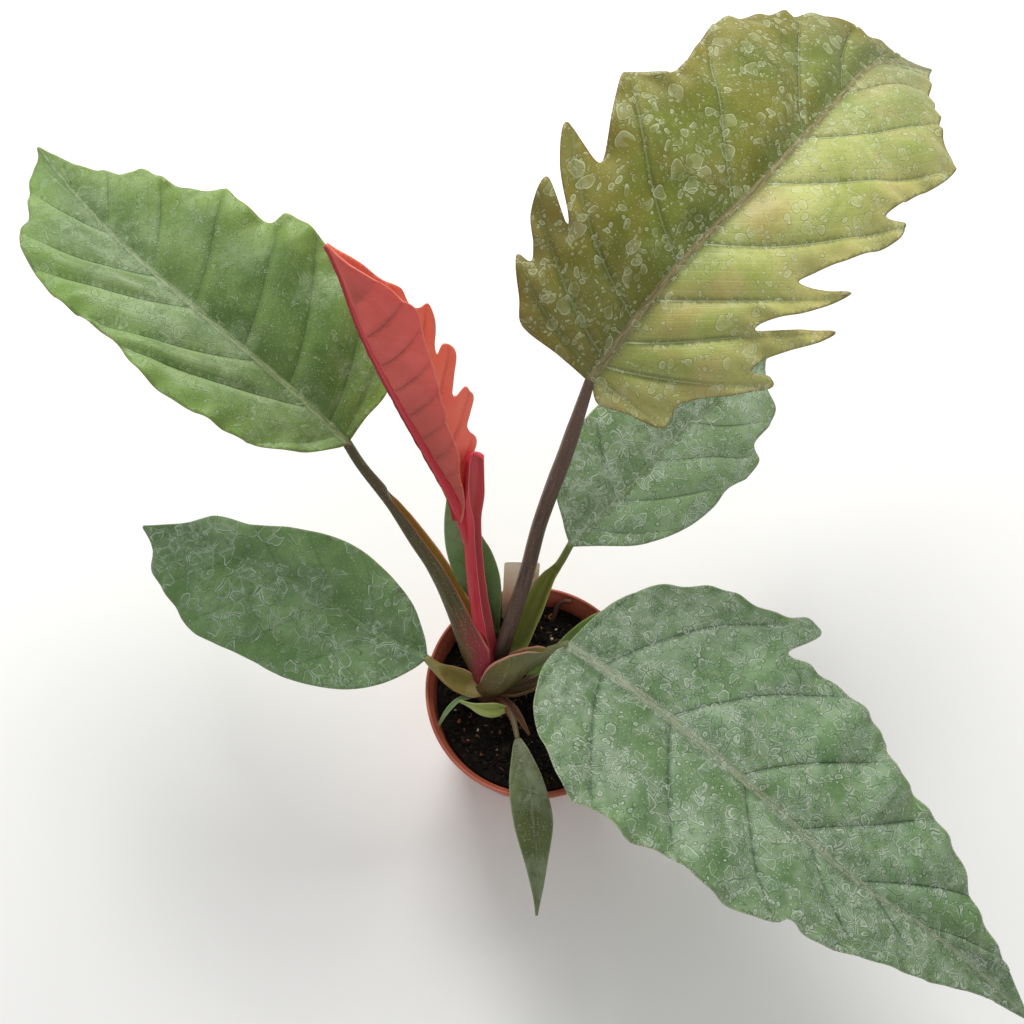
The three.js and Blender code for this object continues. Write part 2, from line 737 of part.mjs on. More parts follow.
// Small slender leaves and sheaths: alike on both sides, with half widths spread along them.
const SLENDER = {
  juvenile: {
    midrib: [[-18.5, 29, 93], [-22, 36, 108], [-30, 49, 132], [-37, 59, 150], [-42, 67, 165]],
    facing: [-0.1, -0.85, 0.5],
    fold: 12,
    halfWidths: [5, 9, 11, 10, 6],
  },
  bud: {
    midrib: [[-13, -10, 89], [-24, -11, 92], [-36, -7, 92]],
    facing: [0, -0.4, 1],
    fold: 18,
    halfWidths: [3.6, 3.2, 1.4],
  },
  strip: {
    midrib: [[-31, -4, 90.5], [-37, -7, 92], [-42, -12, 90], [-46, -18, 86]],
    facing: [0, 0, 1],
    fold: 10,
    halfWidths: [1.3, 1.3, 1],
  },
  green: {
    midrib: [[-3, 6, 90], [8, 12, 96], [18, 19, 104], [25.5, 24, 113], [33, 30, 121]],
    facing: [-0.3, -0.3, 1],
    fold: 20,
    halfWidths: [3.5, 4.5, 5, 4],
  },
  remains: {
    midrib: [[-15, -4, 86], [-8, -12, 86.5], [-2, -21, 83.5]],
    facing: [0.2, 0, 1],
    fold: 25,
    halfWidths: [2.6, 2.2, 1.4],
  },
};

function slenderBlade({ midrib, facing, fold, halfWidths }) {
  const length = curveThrough(midrib).getLength();
  const margin = halfWidths.map((half, i) => {
    const along = (length * (i + 1)) / (halfWidths.length + 1);
    return [along, half, along];
  });
  const half = { fold: [fold, fold], curl: [0, 0], margin };
  return new Blade({ midrib, facing: [facing, facing], left: half, right: half, across: 2, ripple: 0 });
}

const stalks = Object.fromEntries(
  Object.entries(STALKS).map(([name, shape]) => [
    name,
    { plain: stalkGeometry(shape), cutter: stalkGeometry(shape, CLEARANCE) },
  ]),
);
const allBlades = [
  ...Object.entries(BLADES).map(([name, shape]) => [name, new Blade(shape)]),
  ...Object.entries(SLENDER).map(([name, shape]) => [name, slenderBlade(shape)]),
];
const blades = Object.fromEntries(
  allBlades.map(([name, blade]) => {
    const cutter = blade.geometry(BLADE_CLEARANCE);
    return [name, { plain: blade.geometry(), cutter }];
  }),
);

const plant = new THREE.Group();

function add(name, geometry, color, roughness = 0.6) {
  const material = new THREE.MeshStandardMaterial({ color, roughness, metalness: 0 });
  const mesh = new THREE.Mesh(geometry, material);
  mesh.name = name;
  plant.add(mesh);
}

// Each stalk keeps clear of its own blade and of the stalks nearer the middle of the crown.
const STALK_ORDER = [
  "bronze", "red", "upperLeft", "back", "lowerRight", "lowerLeft", "hanging", "lowSheath", "juvenile",
];
const cutStalks = {};
STALK_ORDER.forEach((name, i) => {
  const inner = STALK_ORDER.slice(0, i).map((other) => stalks[other].cutter);
  const own = blades[name] ? [blades[name].cutter] : [];
  cutStalks[name] = clearOf(stalks[name].plain, [...inner, ...own]);
});
const allStalks = STALK_ORDER.map((name) => stalks[name].cutter);
const driedStalk = {
  plain: stalkGeometry(DRIED_STALK),
  cutter: stalkGeometry(DRIED_STALK, CLEARANCE),
};

add("pot", potGeometry(), 0xa85840, 0.45);
const standing = [
  crownGeometry(CLEARANCE), labelGeometry(CLEARANCE), stalks.juvenile.cutter, driedStalk.cutter,
];
add("soil", clearOf(soilGeometry(), standing), 0x1c1613, 0.95);
add("stem_crown", clearOf(crownGeometry(), allStalks), 0x6a4638);
add("plant_label", labelGeometry(), 0xdcdad6, 0.4);

add("bronze_leaf_petiole", cutStalks.bronze, 0x4a3733);
add("bronze_leaf_blade", blades.bronze.plain, 0x7d7f3c);
add("red_leaf_petiole", cutStalks.red, 0xa02a45);
add("red_leaf_blade", blades.red.plain, 0xd2543f);
add("upper_left_leaf_petiole", cutStalks.upperLeft, 0x5c4f38);
add("upper_left_leaf_blade", blades.upperLeft.plain, 0x4f7a45);
add("back_leaf_petiole", cutStalks.back, 0x5a6b3a);
add("back_leaf_blade", blades.back.plain, 0x4b7159);
add("lower_right_leaf_petiole", cutStalks.lowerRight, 0x5f6440);
add("lower_right_leaf_blade", blades.lowerRight.plain, 0x4a6b50);
add("lower_left_leaf_petiole", cutStalks.lowerLeft, 0x686a3a);
add("lower_left_leaf_blade", blades.lowerLeft.plain, 0x3f6a48);
add("hanging_leaf_petiole", cutStalks.hanging, 0x7a4a42);
add("hanging_leaf_blade", blades.hanging.plain, 0x5d7350);
add("juvenile_leaf_petiole", cutStalks.juvenile, 0x5f7a45);
add("juvenile_leaf_blade", blades.juvenile.plain, 0x5a8355);
add("bud_leaf", clearOf(blades.bud.plain, allStalks), 0x8c9a4a);
add("strip_leaf", clearOf(blades.strip.plain, [...allStalks, blades.bud.cutter]), 0x8aa05a);
add("green_cataphyll", clearOf(blades.green.plain, allStalks), 0x6f8f3f);
add("low_sheath", cutStalks.lowSheath, 0x8a6a48);
add("cataphyll_remains", clearOf(blades.remains.plain, allStalks), 0x7c3f36);
add("dried_stalk", driedStalk.plain, 0x4a2a20, 0.8);

export default plant;
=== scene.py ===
"""A potted philodendron with lobed leaves: procedural surfaces over the CAD frame."""

import math

import bpy
import numpy as np
from mathutils import Matrix, Vector, geometry, noise


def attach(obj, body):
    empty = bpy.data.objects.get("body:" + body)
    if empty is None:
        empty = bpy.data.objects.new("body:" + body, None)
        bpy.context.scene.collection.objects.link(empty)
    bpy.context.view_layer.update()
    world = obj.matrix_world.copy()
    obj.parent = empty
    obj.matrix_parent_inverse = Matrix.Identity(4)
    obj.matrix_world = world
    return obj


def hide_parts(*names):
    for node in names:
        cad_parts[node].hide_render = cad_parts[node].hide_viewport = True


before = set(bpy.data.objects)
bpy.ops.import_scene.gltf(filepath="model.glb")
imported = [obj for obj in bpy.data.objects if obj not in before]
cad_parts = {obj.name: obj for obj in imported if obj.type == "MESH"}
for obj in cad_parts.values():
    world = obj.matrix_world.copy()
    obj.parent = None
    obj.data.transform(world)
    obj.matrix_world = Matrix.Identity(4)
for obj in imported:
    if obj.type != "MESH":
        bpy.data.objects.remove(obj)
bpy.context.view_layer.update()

MM = 0.001
TURN = 2 * math.pi
rng = np.random.default_rng(11)

# The pot and what stands in it, in millimetres.
POT_HEIGHT = 92
RIM_RADIUS = 52.5
BAND_HEIGHT = 15
BAND_STEP = 1.6
BAND_FLARE = 0.6
BASE_RADIUS = 37.5
WALL = 1.5
FLOOR = 2
BAND_BASE = POT_HEIGHT - BAND_HEIGHT
NECK_RADIUS = RIM_RADIUS - 2 * BAND_STEP - BAND_FLARE
SOIL_HEIGHT = 79
SOIL_WAVES = [(0.8, 57, 69, 1), (0.4, 19, 27, 0), (0.3, -31, 17, 1.6)]
SOIL_RINGS = 44
SOIL_SIDES = 120
SOIL_GRAIN = 0.9
CROWN_RADIUS = 9
CROWN_CENTRE = (-21, 4)
CROWN_TOP = 87
CROWN_DEPTH = 16

# Crumbs, and bits of bark and pale grit where the photo shows them.
LUMP_RINGS = 3
LUMP_SIDES = 7
CRUMB_REACH = 43.5
CRUMB_RISE = 0.15
BARK_PLACES = [
    (10, 41), (2.7, 38.4), (4.7, 35.2), (-30.7, -10.6), (-31.5, -23.4), (-16, -18.9), (-16, -10.5),
    (6.6, 23), (-2, 31), (20, 27), (-25, -30), (-36, -14), (-8, -34), (12, -20), (26, 8), (-12, 30),
]
PALE_PLACES = [
    (10.3, 29.4), (0.1, 29.3), (14.3, 35.4), (12.7, 34.3), (-0.4, -23.1), (-17.4, -27.6), (4, 20.3),
    (-38, -8), (-27, -18), (22, -14),
]

# Leaf blades: their mesh, thickness and waves, and how their ribs run. A ramp is the stretch, out
# from the midrib or in from the margin, over which a form comes up.
SIDES = ((-1, "left"), (1, "right"))
CURVE_STEPS = 60
GRID_STEP = 1.5
OUTLINE_STEP = 1.1
MIDRIB_COLUMNS = [0, 0.7, 1.5, 2.5, 3.8]
BASE_HALF_WIDTH = 1.6
TIP_HALF_WIDTH = 0.6
BLADE_THICKNESS = 0.6
EDGE_THICKNESS = 0.36
RIPPLE_LENGTH = 34
FULL_RIPPLE_WIDTH = 45
CURL_RUN = 10
FOLD_RUN = 4
RIB_REACH = 14
RIB_STRAIGHT = 0.65
RIB_START = 1.0
FULL_PLEAT_GAP = 16
PLEAT_RAMP = (1, 14)
EDGE_PLEAT = 0.45
EDGE_PLEAT_RAMP = (0, 12)
GROOVE_WIDTH = 0.5
GROOVE_RAMP = (0.5, 3)
UNDER_GROOVE = 0.25
UNDER_RIDGE = 1.2
TIP_RIDGE = 0.45
WAVE_SIZE = 26
WAVE_HEIGHT = 1.2
WAVE_RAMP = (4, 26)
SCALLOP_LENGTH = 14
SCALLOP_RAMP = (6, 18)
SCALLOP_REACH = 11
SWAY = 1.5
SWAY_SIZE = 30
CREASE_SIZE = 9
CREASE_HEIGHT = 0.5
DENT_SIZE = 4.5
DENT_DEPTH = 0.16
THIN_REACH = 5

# Leaf stalks: a round section or an open trough between two wings.
RING_STEP = 1.6
WING_ANGLE = math.radians(35)
TROUGH_WALL = 1.4
LEAST_HOLLOW = 0.2
WING_SPREAD = 0.25
LUMPS = 0.04
LUMP_GRAINS = (0.5, 0.5, 0.07)
END_DOME = 0.8
OUTER_STEPS = 26
INNER_STEPS = 20
RIM_SHARE = 0.24
TWIST_START = 0.72
TWIST_END = 0.93

# Patterns on the leaves, with their grains in each millimetre, and on the stalks, in each metre.
MOTTLE_GRAINS = 0.05
PATCH_GRAINS = 0.022
SKIN_GRAINS = 0.7
STREAK_GRAINS = 1.1
BLOTCH_GRAINS = 70.0
PORE_GRAINS = 900.0

# Dried drops on the leaves: a ring's half width, at most and as a share of a cell, a drop's radius
# as a share of a cell, and the noises that bend the drops, gather them, wear them off and clot.
MOST_RING = 0.4
RING_SHARE = 0.17
LEAST_DROP = 0.16
MOST_DROP = 0.46
BEND = 3.6
BEND_GRAINS = 0.16
REGION_FAVOUR = 1.2
REGION_GRAINS = 0.035
WEAR_GRAINS = 0.14
CLOT_GRAINS = 0.2

# The plant label.
LABEL_WIDTH = 17
LABEL_THICKNESS = 0.8
LABEL_LENGTH = 74
LABEL_POINT = 26
LABEL_TIP = 1.5
LABEL_CORNER = 2
LABEL_BEVEL = 0.15
LABEL_BOW = 0.5
LABEL_LEAN = 14
LABEL_FOOT = (-7, 34, 55)

# The studio, in metres: a pale floor, a white sky and one window.
FLOOR_REACH = 4.0
SKY_STRENGTH = 0.55
WINDOW_PLACE = (-0.15, 1.0, 1.15)
WINDOW_TARGET = (0, 0.05, 0.12)
WINDOW_SIZE = 0.7
WINDOW_POWER = 17
WINDOW_COLOUR = (1.0, 0.99, 0.97)

# The camera: its place in millimetres and the ways of its right, down and forward.
EYE = (-28.6, -133.0, 565.6)
RIGHT = (0.99928, 0.0, 0.0380)
DOWN = (0.01643, -0.90171, -0.43203)
FORWARD = (0.03427, 0.43234, -0.90106)
LENS = 35.156
SENSOR_WIDTH = 36


def paint(red, green, blue):
    """A linear colour from screen values of 0 to 255."""
    shares = [value / 255 for value in (red, green, blue)]
    linear = [s / 12.92 if s <= 0.04045 else ((s + 0.055) / 1.055) ** 2.4 for s in shares]
    return (*linear, 1.0)


class Wire:
    """A node's output, reckoned with like a number: each sum or product is a math node."""

    def __init__(self, graph, socket):
        self.graph = graph
        self.socket = socket

    def __add__(self, other):
        return self.graph.math("ADD", self, other)

    def __sub__(self, other):
        return self.graph.math("SUBTRACT", self, other)

    def __rsub__(self, other):
        return self.graph.math("SUBTRACT", other, self)

    def __mul__(self, other):
        return self.graph.math("MULTIPLY", self, other)

    def __truediv__(self, other):
        return self.graph.math("DIVIDE", self, other)

    def __abs__(self):
        return self.graph.math("ABSOLUTE", self)

    def step(self, low, high, start=0.0, end=1.0):
        """Goes smoothly from start to end as this value goes from low to high."""
        inputs = dict(enumerate((self, low, high, start, end)))
        return self.graph.node("MapRange", inputs, interpolation_type="SMOOTHSTEP")


class Graph:
    """One material's nodes, with flat or solid patterns. A tuple fed to a socket is a screen colour."""

    def __init__(self, name, dimensions="3D"):
        self.dimensions = dimensions
        self.material = bpy.data.materials.new(name)
        self.material.use_nodes = True
        self.nodes = self.material.node_tree.nodes
        self.links = self.material.node_tree.links
        self.nodes.clear()
        self.shader = self.nodes.new("ShaderNodeBsdfPrincipled")
        output = self.nodes.new("ShaderNodeOutputMaterial")
        self.links.new(self.shader.outputs[0], output.inputs[0])

    def feed(self, node, inputs):
        for key, value in inputs.items():
            if isinstance(value, Wire):
                self.links.new(value.socket, node.inputs[key])
            else:
                node.inputs[key].default_value = paint(*value) if isinstance(value, tuple) else value

    def node(self, kind, inputs, output=0, **settings):
        made = self.nodes.new("ShaderNode" + kind)
        for key, value in settings.items():
            setattr(made, key, value)
        self.feed(made, inputs)
        return Wire(self, made.outputs[output])

    def math(self, operation, *values):
        return self.node("Math", dict(enumerate(values)), operation=operation)

    def larger(self, one, other):
        return self.math("MAXIMUM", one, other)

    def mix(self, factor, low, high):
        return self.node("Mix", {0: factor, 6: low, 7: high}, 2, data_type="RGBA")

    def coats(self, colour, *layers):
        """Lays one colour over another, each with its own share."""
        for share, over in layers:
            colour = self.mix(share, colour, over)
        return colour

    def attribute(self, name, output="Fac"):
        return self.node("Attribute", {}, output, attribute_name=name)

    def parts(self, vector):
        split = self.node("SeparateXYZ", {0: vector}).socket.node
        return [Wire(self, socket) for socket in split.outputs]

    def joined(self, x, y):
        return self.node("CombineXYZ", {0: x, 1: y})

    def place(self):
        return self.node("TexCoord", {}, "Object")

    def noise(self, vector, scale, detail=3.0, roughness=0.5, distortion=0.0, output=0):
        inputs = {"Vector": vector, "Scale": scale, "Detail": detail, "Roughness": roughness}
        inputs["Distortion"] = distortion
        return self.node("TexNoise", inputs, output, noise_dimensions=self.dimensions)

    def cells(self, vector, scale, feature="F1", output="Distance"):
        settings = {"feature": feature, "voronoi_dimensions": self.dimensions}
        return self.node("TexVoronoi", {"Vector": vector, "Scale": scale}, output, **settings)

    def finish(self, colour, roughness, relief=None, depth=0, **numbers):
        """Sets the shader: relief is a height whose 1 is depth in millimetres."""
        inputs = {"Base Color": colour, "Roughness": roughness}
        if relief is not None:
            inputs["Normal"] = self.node("Bump", {"Strength": 1.0, "Distance": depth * MM, "Height": relief})
        inputs |= {key.replace("_", " "): value for key, value in numbers.items()}
        self.feed(self.shader, inputs)
        return self.material


def unit(vectors):
    return vectors / np.linalg.norm(vectors, axis=-1, keepdims=True)


def lerp(low, high, share):
    return low + (high - low) * share


def smooth(value, low, high):
    share = np.clip((value - low) / (high - low), 0, 1)
    return share * share * (3 - 2 * share)


def ripples(points, size, shift=0.0):
    """Smooth noise of -1 to 1 over flat points; size is its grain in millimetres."""
    return np.array([noise.noise(Vector((*p, 0.0))) for p in (points / size + shift).tolist()])


def spline(points, steps):
    """Points along a Catmull-Rom curve through the given ones; steps is a count per span or a length."""
    marks = np.array(points, float)
    ends = np.vstack([2 * marks[0] - marks[1], marks, 2 * marks[-1] - marks[-2]])
    line = []
    for k in range(len(marks) - 1):
        before, start, end, after = ends[k : k + 4]
        leave, arrive = (end - before) / 2, (after - start) / 2
        count = steps if isinstance(steps, int) else max(1, round(np.linalg.norm(end - start) / steps))
        for share in np.arange(count) / count:
            square, cube = share**2, share**3
            curved = (3 * (end - start) - 2 * leave - arrive) * square
            line.append(start + leave * share + curved + (2 * (start - end) + leave + arrive) * cube)
    line.append(marks[-1])
    return np.array(line)


class Curve:
    """A smooth curve read by the distance along it."""

    def __init__(self, points):
        self.line = spline(points, CURVE_STEPS)
        lengths = np.linalg.norm(np.diff(self.line, axis=0), axis=1)
        self.distance = np.concatenate([[0], np.cumsum(lengths)])
        self.length = self.distance[-1]

    def point(self, along):
        return np.stack([np.interp(along, self.distance, self.line[:, k]) for k in range(3)], -1)

    def tangent(self, along):
        low, high = (np.clip(along + reach, 0, self.length) for reach in (-1, 1))
        return unit(self.point(high) - self.point(low))


def add_object(name, data):
    made = bpy.data.objects.new(name, data)
    bpy.context.scene.collection.objects.link(made)
    return made


def new_object(name, vertices, faces, material, replaced, smooth_faces=True):
    """A mesh object, given in millimetres, that rides on the plant's only body."""
    mesh = bpy.data.meshes.new(name)
    mesh.from_pydata((np.asarray(vertices) * MM).tolist(), [], faces)
    mesh.validate()
    mesh.polygons.foreach_set("use_smooth", [smooth_faces] * len(mesh.polygons))
    mesh.materials.append(material)
    made = add_object(name, mesh)
    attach(made, "root")
    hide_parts(replaced)
    return made


def store(piece, name, values, domain="POINT"):
    """Keeps numbers on a mesh for its material to read: one or three for each point or corner."""
    values = np.asarray(values, float)
    kind, key = ("FLOAT_VECTOR", "vector") if values.ndim == 2 else ("FLOAT", "value")
    piece.data.attributes.new(name, kind, domain).data.foreach_set(key, values.ravel())


def closed_rings(rings, sides, flip=False):
    """Faces of rings of points that follow one another, closed by the two points after them."""
    faces = []
    for i in range(rings - 1):
        for k in range(sides):
            a, b = i * sides + k, i * sides + (k + 1) % sides
            faces.append((a, b, b + sides, a + sides) if flip else (a, a + sides, b + sides, b))
    for end, first in enumerate((0, (rings - 1) * sides)):
        for k in range(sides):
            a, b = first + k, first + (k + 1) % sides
            faces.append((rings * sides + end, b, a) if flip != bool(end) else (rings * sides + end, a, b))
    return faces


class Blade:
    """A leaf blade's middle surface, the same as in the CAD part."""

    def __init__(self, shape):
        self.shape = shape
        self.curve = Curve(shape["midrib"])
        self.length = self.curve.length

    def place(self, along, across, rise):
        """Points for distances along the midrib and across it, left below 0."""
        inside = np.clip(along, 0, self.length)
        share = (inside / self.length)[:, None]
        tangent = self.curve.tangent(inside)
        point = self.curve.point(inside) + tangent * (along - inside)[:, None]
        low, high = (np.array(f, float) for f in self.shape["facing"])
        up = low * (1 - share) + high * share
        up = unit(up - (up * tangent).sum(1)[:, None] * tangent)
        side = np.cross(tangent, up)
        out = np.abs(across)
        hand = np.where(across < 0, -1, 1)
        start, bend = np.zeros_like(out), np.zeros_like(out)
        for sign, half in SIDES:
            mine = hand == sign
            start[mine] = np.radians(lerp(*self.shape[half]["fold"], share[mine, 0]))
            bend[mine] = np.radians(lerp(*self.shape[half]["curl"], share[mine, 0])) / CURL_RUN - 1e-5
        angle = start + bend * out
        reach = (np.sin(angle) - np.sin(start)) / bend
        lift = (np.cos(start) - np.cos(angle)) / bend
        lean = angle * np.minimum(1, out / FOLD_RUN)
        normal = np.cos(lean)[:, None] * up - (hand * np.sin(lean))[:, None] * side
        normal /= np.cos(angle - lean)[:, None]
        wave = np.sin(along / RIPPLE_LENGTH * TURN + hand) * self.shape["ripple"]
        wave *= np.minimum(1, out / FULL_RIPPLE_WIDTH) ** 2
        return point + (hand * reach)[:, None] * side + lift[:, None] * up + (wave + rise)[:, None] * normal

    def outline(self):
        """The closed margin as (across, along) points, anticlockwise from above."""
        halves = {}
        for sign, half in SIDES:
            marks = [(0, BASE_HALF_WIDTH), *self.shape[half]["margin"], (self.length, TIP_HALF_WIDTH)]
            line = spline(marks, OUTLINE_STEP)
            halves[sign] = np.stack([sign * line[:, 1], line[:, 0]], 1)
        return np.concatenate([halves[1], halves[-1][::-1]])


def inside_outline(points, outline):
    """Which points lie inside a closed outline."""
    x, y = points[:, 0][:, None], points[:, 1][:, None]
    x0, y0 = outline[:, 0], outline[:, 1]
    x1, y1 = np.roll(x0, -1), np.roll(y0, -1)
    crosses = (y0 > y) != (y1 > y)
    steep = np.where(np.abs(y1 - y0) < 1e-9, 1e-9, y1 - y0)
    hits = crosses & (x < (x1 - x0) * (y - y0) / steep + x0)
    return hits.sum(1) % 2 == 1


def outline_distance(points, outline):
    """How far each point is from the outline."""
    nearest = np.full(len(points), np.inf)
    for start, end in zip(outline, np.roll(outline, -1, axis=0)):
        run, to = end - start, points - start
        share = np.clip(to @ run / max((run**2).sum(), 1e-9), 0, 1)
        nearest = np.minimum(nearest, ((to - share[:, None] * run) ** 2).sum(1))
    return np.sqrt(nearest)


def rib_sweep(foot, end_along, share):
    """How far along a rib has come, at a share of its way out: straight first, then bent to the tip."""
    return foot + (end_along - foot) * (RIB_STRAIGHT * share + (1 - RIB_STRAIGHT) * share**2)


def rib_lines(shape, outline, step):
    """The ribs as (across, along) lines that stay inside the margin."""
    lines = []
    for sign, half in SIDES:
        for foot, end_along, end_out in shape[half]["ribs"]:
            out = np.arange(RIB_START, end_out, step)
            line = np.stack([sign * out, rib_sweep(foot, end_along, out / end_out)], 1)
            inside = inside_outline(line, outline) & (outline_distance(line, outline) > 0.5 * step)
            stop = len(line) if inside.all() else int(np.argmin(inside))
            if stop > 2:
                lines.append(line[:stop])
    return lines


def rib_field(ribs, along, out):
    """For each point the number of ribs passed, whole on a rib, and the gap between its ribs."""
    lines = [rib_sweep(foot, end_along, out / end_out) for foot, end_along, end_out in ribs]
    lines = [lines[0] - RIB_REACH, *lines, lines[-1] + RIB_REACH]
    lines = np.maximum.accumulate(np.array(lines) + 1e-3 * np.arange(len(lines))[:, None], axis=0)
    passed = np.clip((lines <= along).sum(0) - 1, 0, len(lines) - 2)
    low, high = (np.take_along_axis(lines, passed[None] + k, 0)[0] for k in (0, 1))
    gap = np.maximum(high - low, 0.5)
    return passed + np.clip((along - low) / gap, 0, 1), gap


def blade_plan(outline, ribs, step):
    """Triangles that fill the outline, with extra columns along the midrib and edges along the ribs."""
    widest = np.abs(outline[:, 0]).max()
    columns = [*MIDRIB_COLUMNS, *np.arange(MIDRIB_COLUMNS[-1] + step, widest, step)]
    columns = sorted({-c for c in columns} | set(columns))
    rows = np.arange(outline[:, 1].min() + step / 2, outline[:, 1].max(), step)
    grid = np.array([(c, r) for r in rows for c in columns])
    grid[:, 1] += np.round(np.abs(grid[:, 0]) / step) % 2 * step / 2
    grid = grid[inside_outline(grid, outline)]
    grid = grid[outline_distance(grid, outline) > 0.45 * step]
    for line in ribs:
        gap = np.linalg.norm(grid[:, None] - line[None], axis=2).min(1)
        grid = grid[(grid[:, 0] == 0) | (gap > 0.6 * step)]
    rim = len(outline)
    edges = [(k, (k + 1) % rim) for k in range(rim)]
    spine = [rim + k for k in np.flatnonzero(grid[:, 0] == 0)]
    edges += list(zip(spine, spine[1:]))
    first = rim + len(grid)
    for line in ribs:
        edges += [(first + k, first + k + 1) for k in range(len(line) - 1)]
        first += len(line)
    points = [Vector(p) for p in np.concatenate([outline, grid, *ribs]).tolist()]
    coords, _, faces, _, _, _ = geometry.delaunay_2d_cdt(points, edges, [], 1, 1e-5)
    flat = np.array([tuple(c) for c in coords])
    triangles = np.array([f for f in faces if len(f) == 3])
    triangles = triangles[inside_outline(flat[triangles].mean(1), outline)]
    a, b, c = (flat[triangles[:, k]] for k in range(3))
    turn = (b[:, 0] - a[:, 0]) * (c[:, 1] - a[:, 1]) - (b[:, 1] - a[:, 1]) * (c[:, 0] - a[:, 0])
    triangles[turn < 0] = triangles[turn < 0][:, ::-1]
    return flat, triangles[np.abs(turn) > 1e-7]


def border_edges(triangles):
    """Directed edges that only one triangle has."""
    seen = {edge for a, b, c in triangles.tolist() for edge in ((a, b), (b, c), (c, a))}
    return [edge for edge in sorted(seen) if edge[::-1] not in seen]


def blade_rise(shape, flat, edge, share, phase, gap):
    """How far a blade's top and underside rise from its middle surface: pleats, ribs and waves."""
    across, along = flat[:, 0], flat[:, 1]
    out = np.abs(across)
    part = phase % 1
    inward = smooth(out, *PLEAT_RAMP) * lerp(EDGE_PLEAT, 1, smooth(edge, *EDGE_PLEAT_RAMP))
    width = np.minimum(gap, FULL_PLEAT_GAP) / FULL_PLEAT_GAP
    swell = np.where(across < 0, 1, shape.get("right_pleat", 1)) * shape["pleat"]
    pleat = swell * 4 * part * (1 - part) * width * inward
    line = np.minimum(part, 1 - part) * gap
    groove = np.exp(-((line / GROOVE_WIDTH) ** 2)) * smooth(out, *GROOVE_RAMP)
    waves = WAVE_HEIGHT * ripples(flat, WAVE_SIZE, shape["shift"]) * smooth(out, *WAVE_RAMP)
    near_edge = (1 - smooth(edge, 0, SCALLOP_REACH)) * smooth(out, *SCALLOP_RAMP)
    sway = SWAY * ripples(flat, SWAY_SIZE, shape["shift"] + 5.0)
    scallops = np.sin(along / SCALLOP_LENGTH * TURN + np.sign(across) + sway)
    creases = CREASE_HEIGHT * ripples(flat, CREASE_SIZE, shape["shift"] + 7.0)
    dents = DENT_DEPTH * ripples(flat, DENT_SIZE, shape["shift"] + 3.0)
    waves = shape["wave"] * (waves + (scallops + creases) * near_edge)
    ridge = np.exp(-((out / lerp(*shape["rib"], share)) ** 2)) * lerp(1, TIP_RIDGE, share)
    middle = pleat - shape["groove"] * groove + waves + dents
    half = lerp(EDGE_THICKNESS, BLADE_THICKNESS, smooth(edge, 0, THIN_REACH)) / 2
    under = middle - half - UNDER_RIDGE * ridge - UNDER_GROOVE * groove
    return middle + half + shape["ridge"] * ridge, under


def blade_object(name, shape, material, node):
    """A leaf blade with pleats between its ribs, a raised midrib and a thin edge."""
    blade = Blade(shape)
    outline = blade.outline()
    step = shape.get("step", GRID_STEP)
    flat, triangles = blade_plan(outline, rib_lines(shape, outline, step), step)
    across, along = flat[:, 0], flat[:, 1]
    edge = outline_distance(flat, outline)
    share = np.clip(along / blade.length, 0, 1)
    left, right = (rib_field(shape[h]["ribs"], along, np.abs(across)) for h in ("left", "right"))
    phase, gap = (np.where(across < 0, left[k], right[k]) for k in (0, 1))
    rises = blade_rise(shape, flat, edge, share, phase, gap)
    count = len(flat)
    faces = triangles.tolist() + (triangles[:, ::-1] + count).tolist()
    faces += [(b, a, a + count, b + count) for a, b in border_edges(triangles)]
    vertices = np.concatenate([blade.place(along, across, rise) for rise in rises])
    made = new_object(name, vertices, faces, material, node)
    store(made, "leaf", np.tile(np.stack([across, along, edge], 1), (2, 1)))
    store(made, "under", np.repeat([0.0, 1.0], count))
    corners = np.empty(len(made.data.loops), int)
    made.data.loops.foreach_get("vertex_index", corners)
    corners %= count
    totals = np.empty(len(made.data.polygons), int)
    made.data.polygons.foreach_get("loop_total", totals)
    owner = np.repeat(np.arange(len(totals)), totals)
    leftward = (np.bincount(owner, across[corners]) < 0)[owner]
    values = [np.where(leftward, left[k][corners], right[k][corners]) for k in (0, 1)]
    store(made, "ribs", np.stack([*values, np.where(leftward, -1.0, 1.0)], 1), "CORNER")


def ring_outline(radius, channel, wing, spread):
    """One ring of a stalk: round where channel is 0, a trough with wings where it is 1."""
    closed_x, closed_y = radius * math.cos(WING_ANGLE), radius * math.sin(WING_ANGLE)

    def tip(sign):
        open_tip = (radius + spread * wing, wing)
        x, y = (lerp(a, b, channel) for a, b in zip((closed_x, closed_y), open_tip))
        return (sign * x, y, 0.5, 1.0)

    def near_tip(sign, foot, inside):
        x, y = (lerp(a, b, RIM_SHARE) for a, b in zip(tip(sign), foot))
        return (x, y, inside, 0.0)

    inner = max(radius - TROUGH_WALL, LEAST_HOLLOW)
    inner_foot, inner_rise = lerp(closed_x, inner, channel), lerp(closed_y, 0.0, channel)
    points = [tip(-1), near_tip(-1, (-radius, 0.0), 0.0)]
    for i in range(OUTER_STEPS + 1):
        angle = math.pi * (1 + i / OUTER_STEPS)
        points.append((radius * math.cos(angle), radius * math.sin(angle), 0.0, 0.0))
    points += [near_tip(1, (radius, 0.0), 0.0), tip(1), near_tip(1, (inner_foot, inner_rise), channel)]
    for i in range(1, INNER_STEPS):
        share = i / INNER_STEPS
        over = lerp(WING_ANGLE, math.pi - WING_ANGLE, share)
        under = math.pi * share
        x = lerp(radius * math.cos(over), inner * math.cos(under), channel)
        y = lerp(radius * math.sin(over), -inner * math.sin(under), channel)
        points.append((x, y, channel, 0.0))
    points.append(near_tip(-1, (-inner_foot, inner_rise), channel))
    return np.array(points)


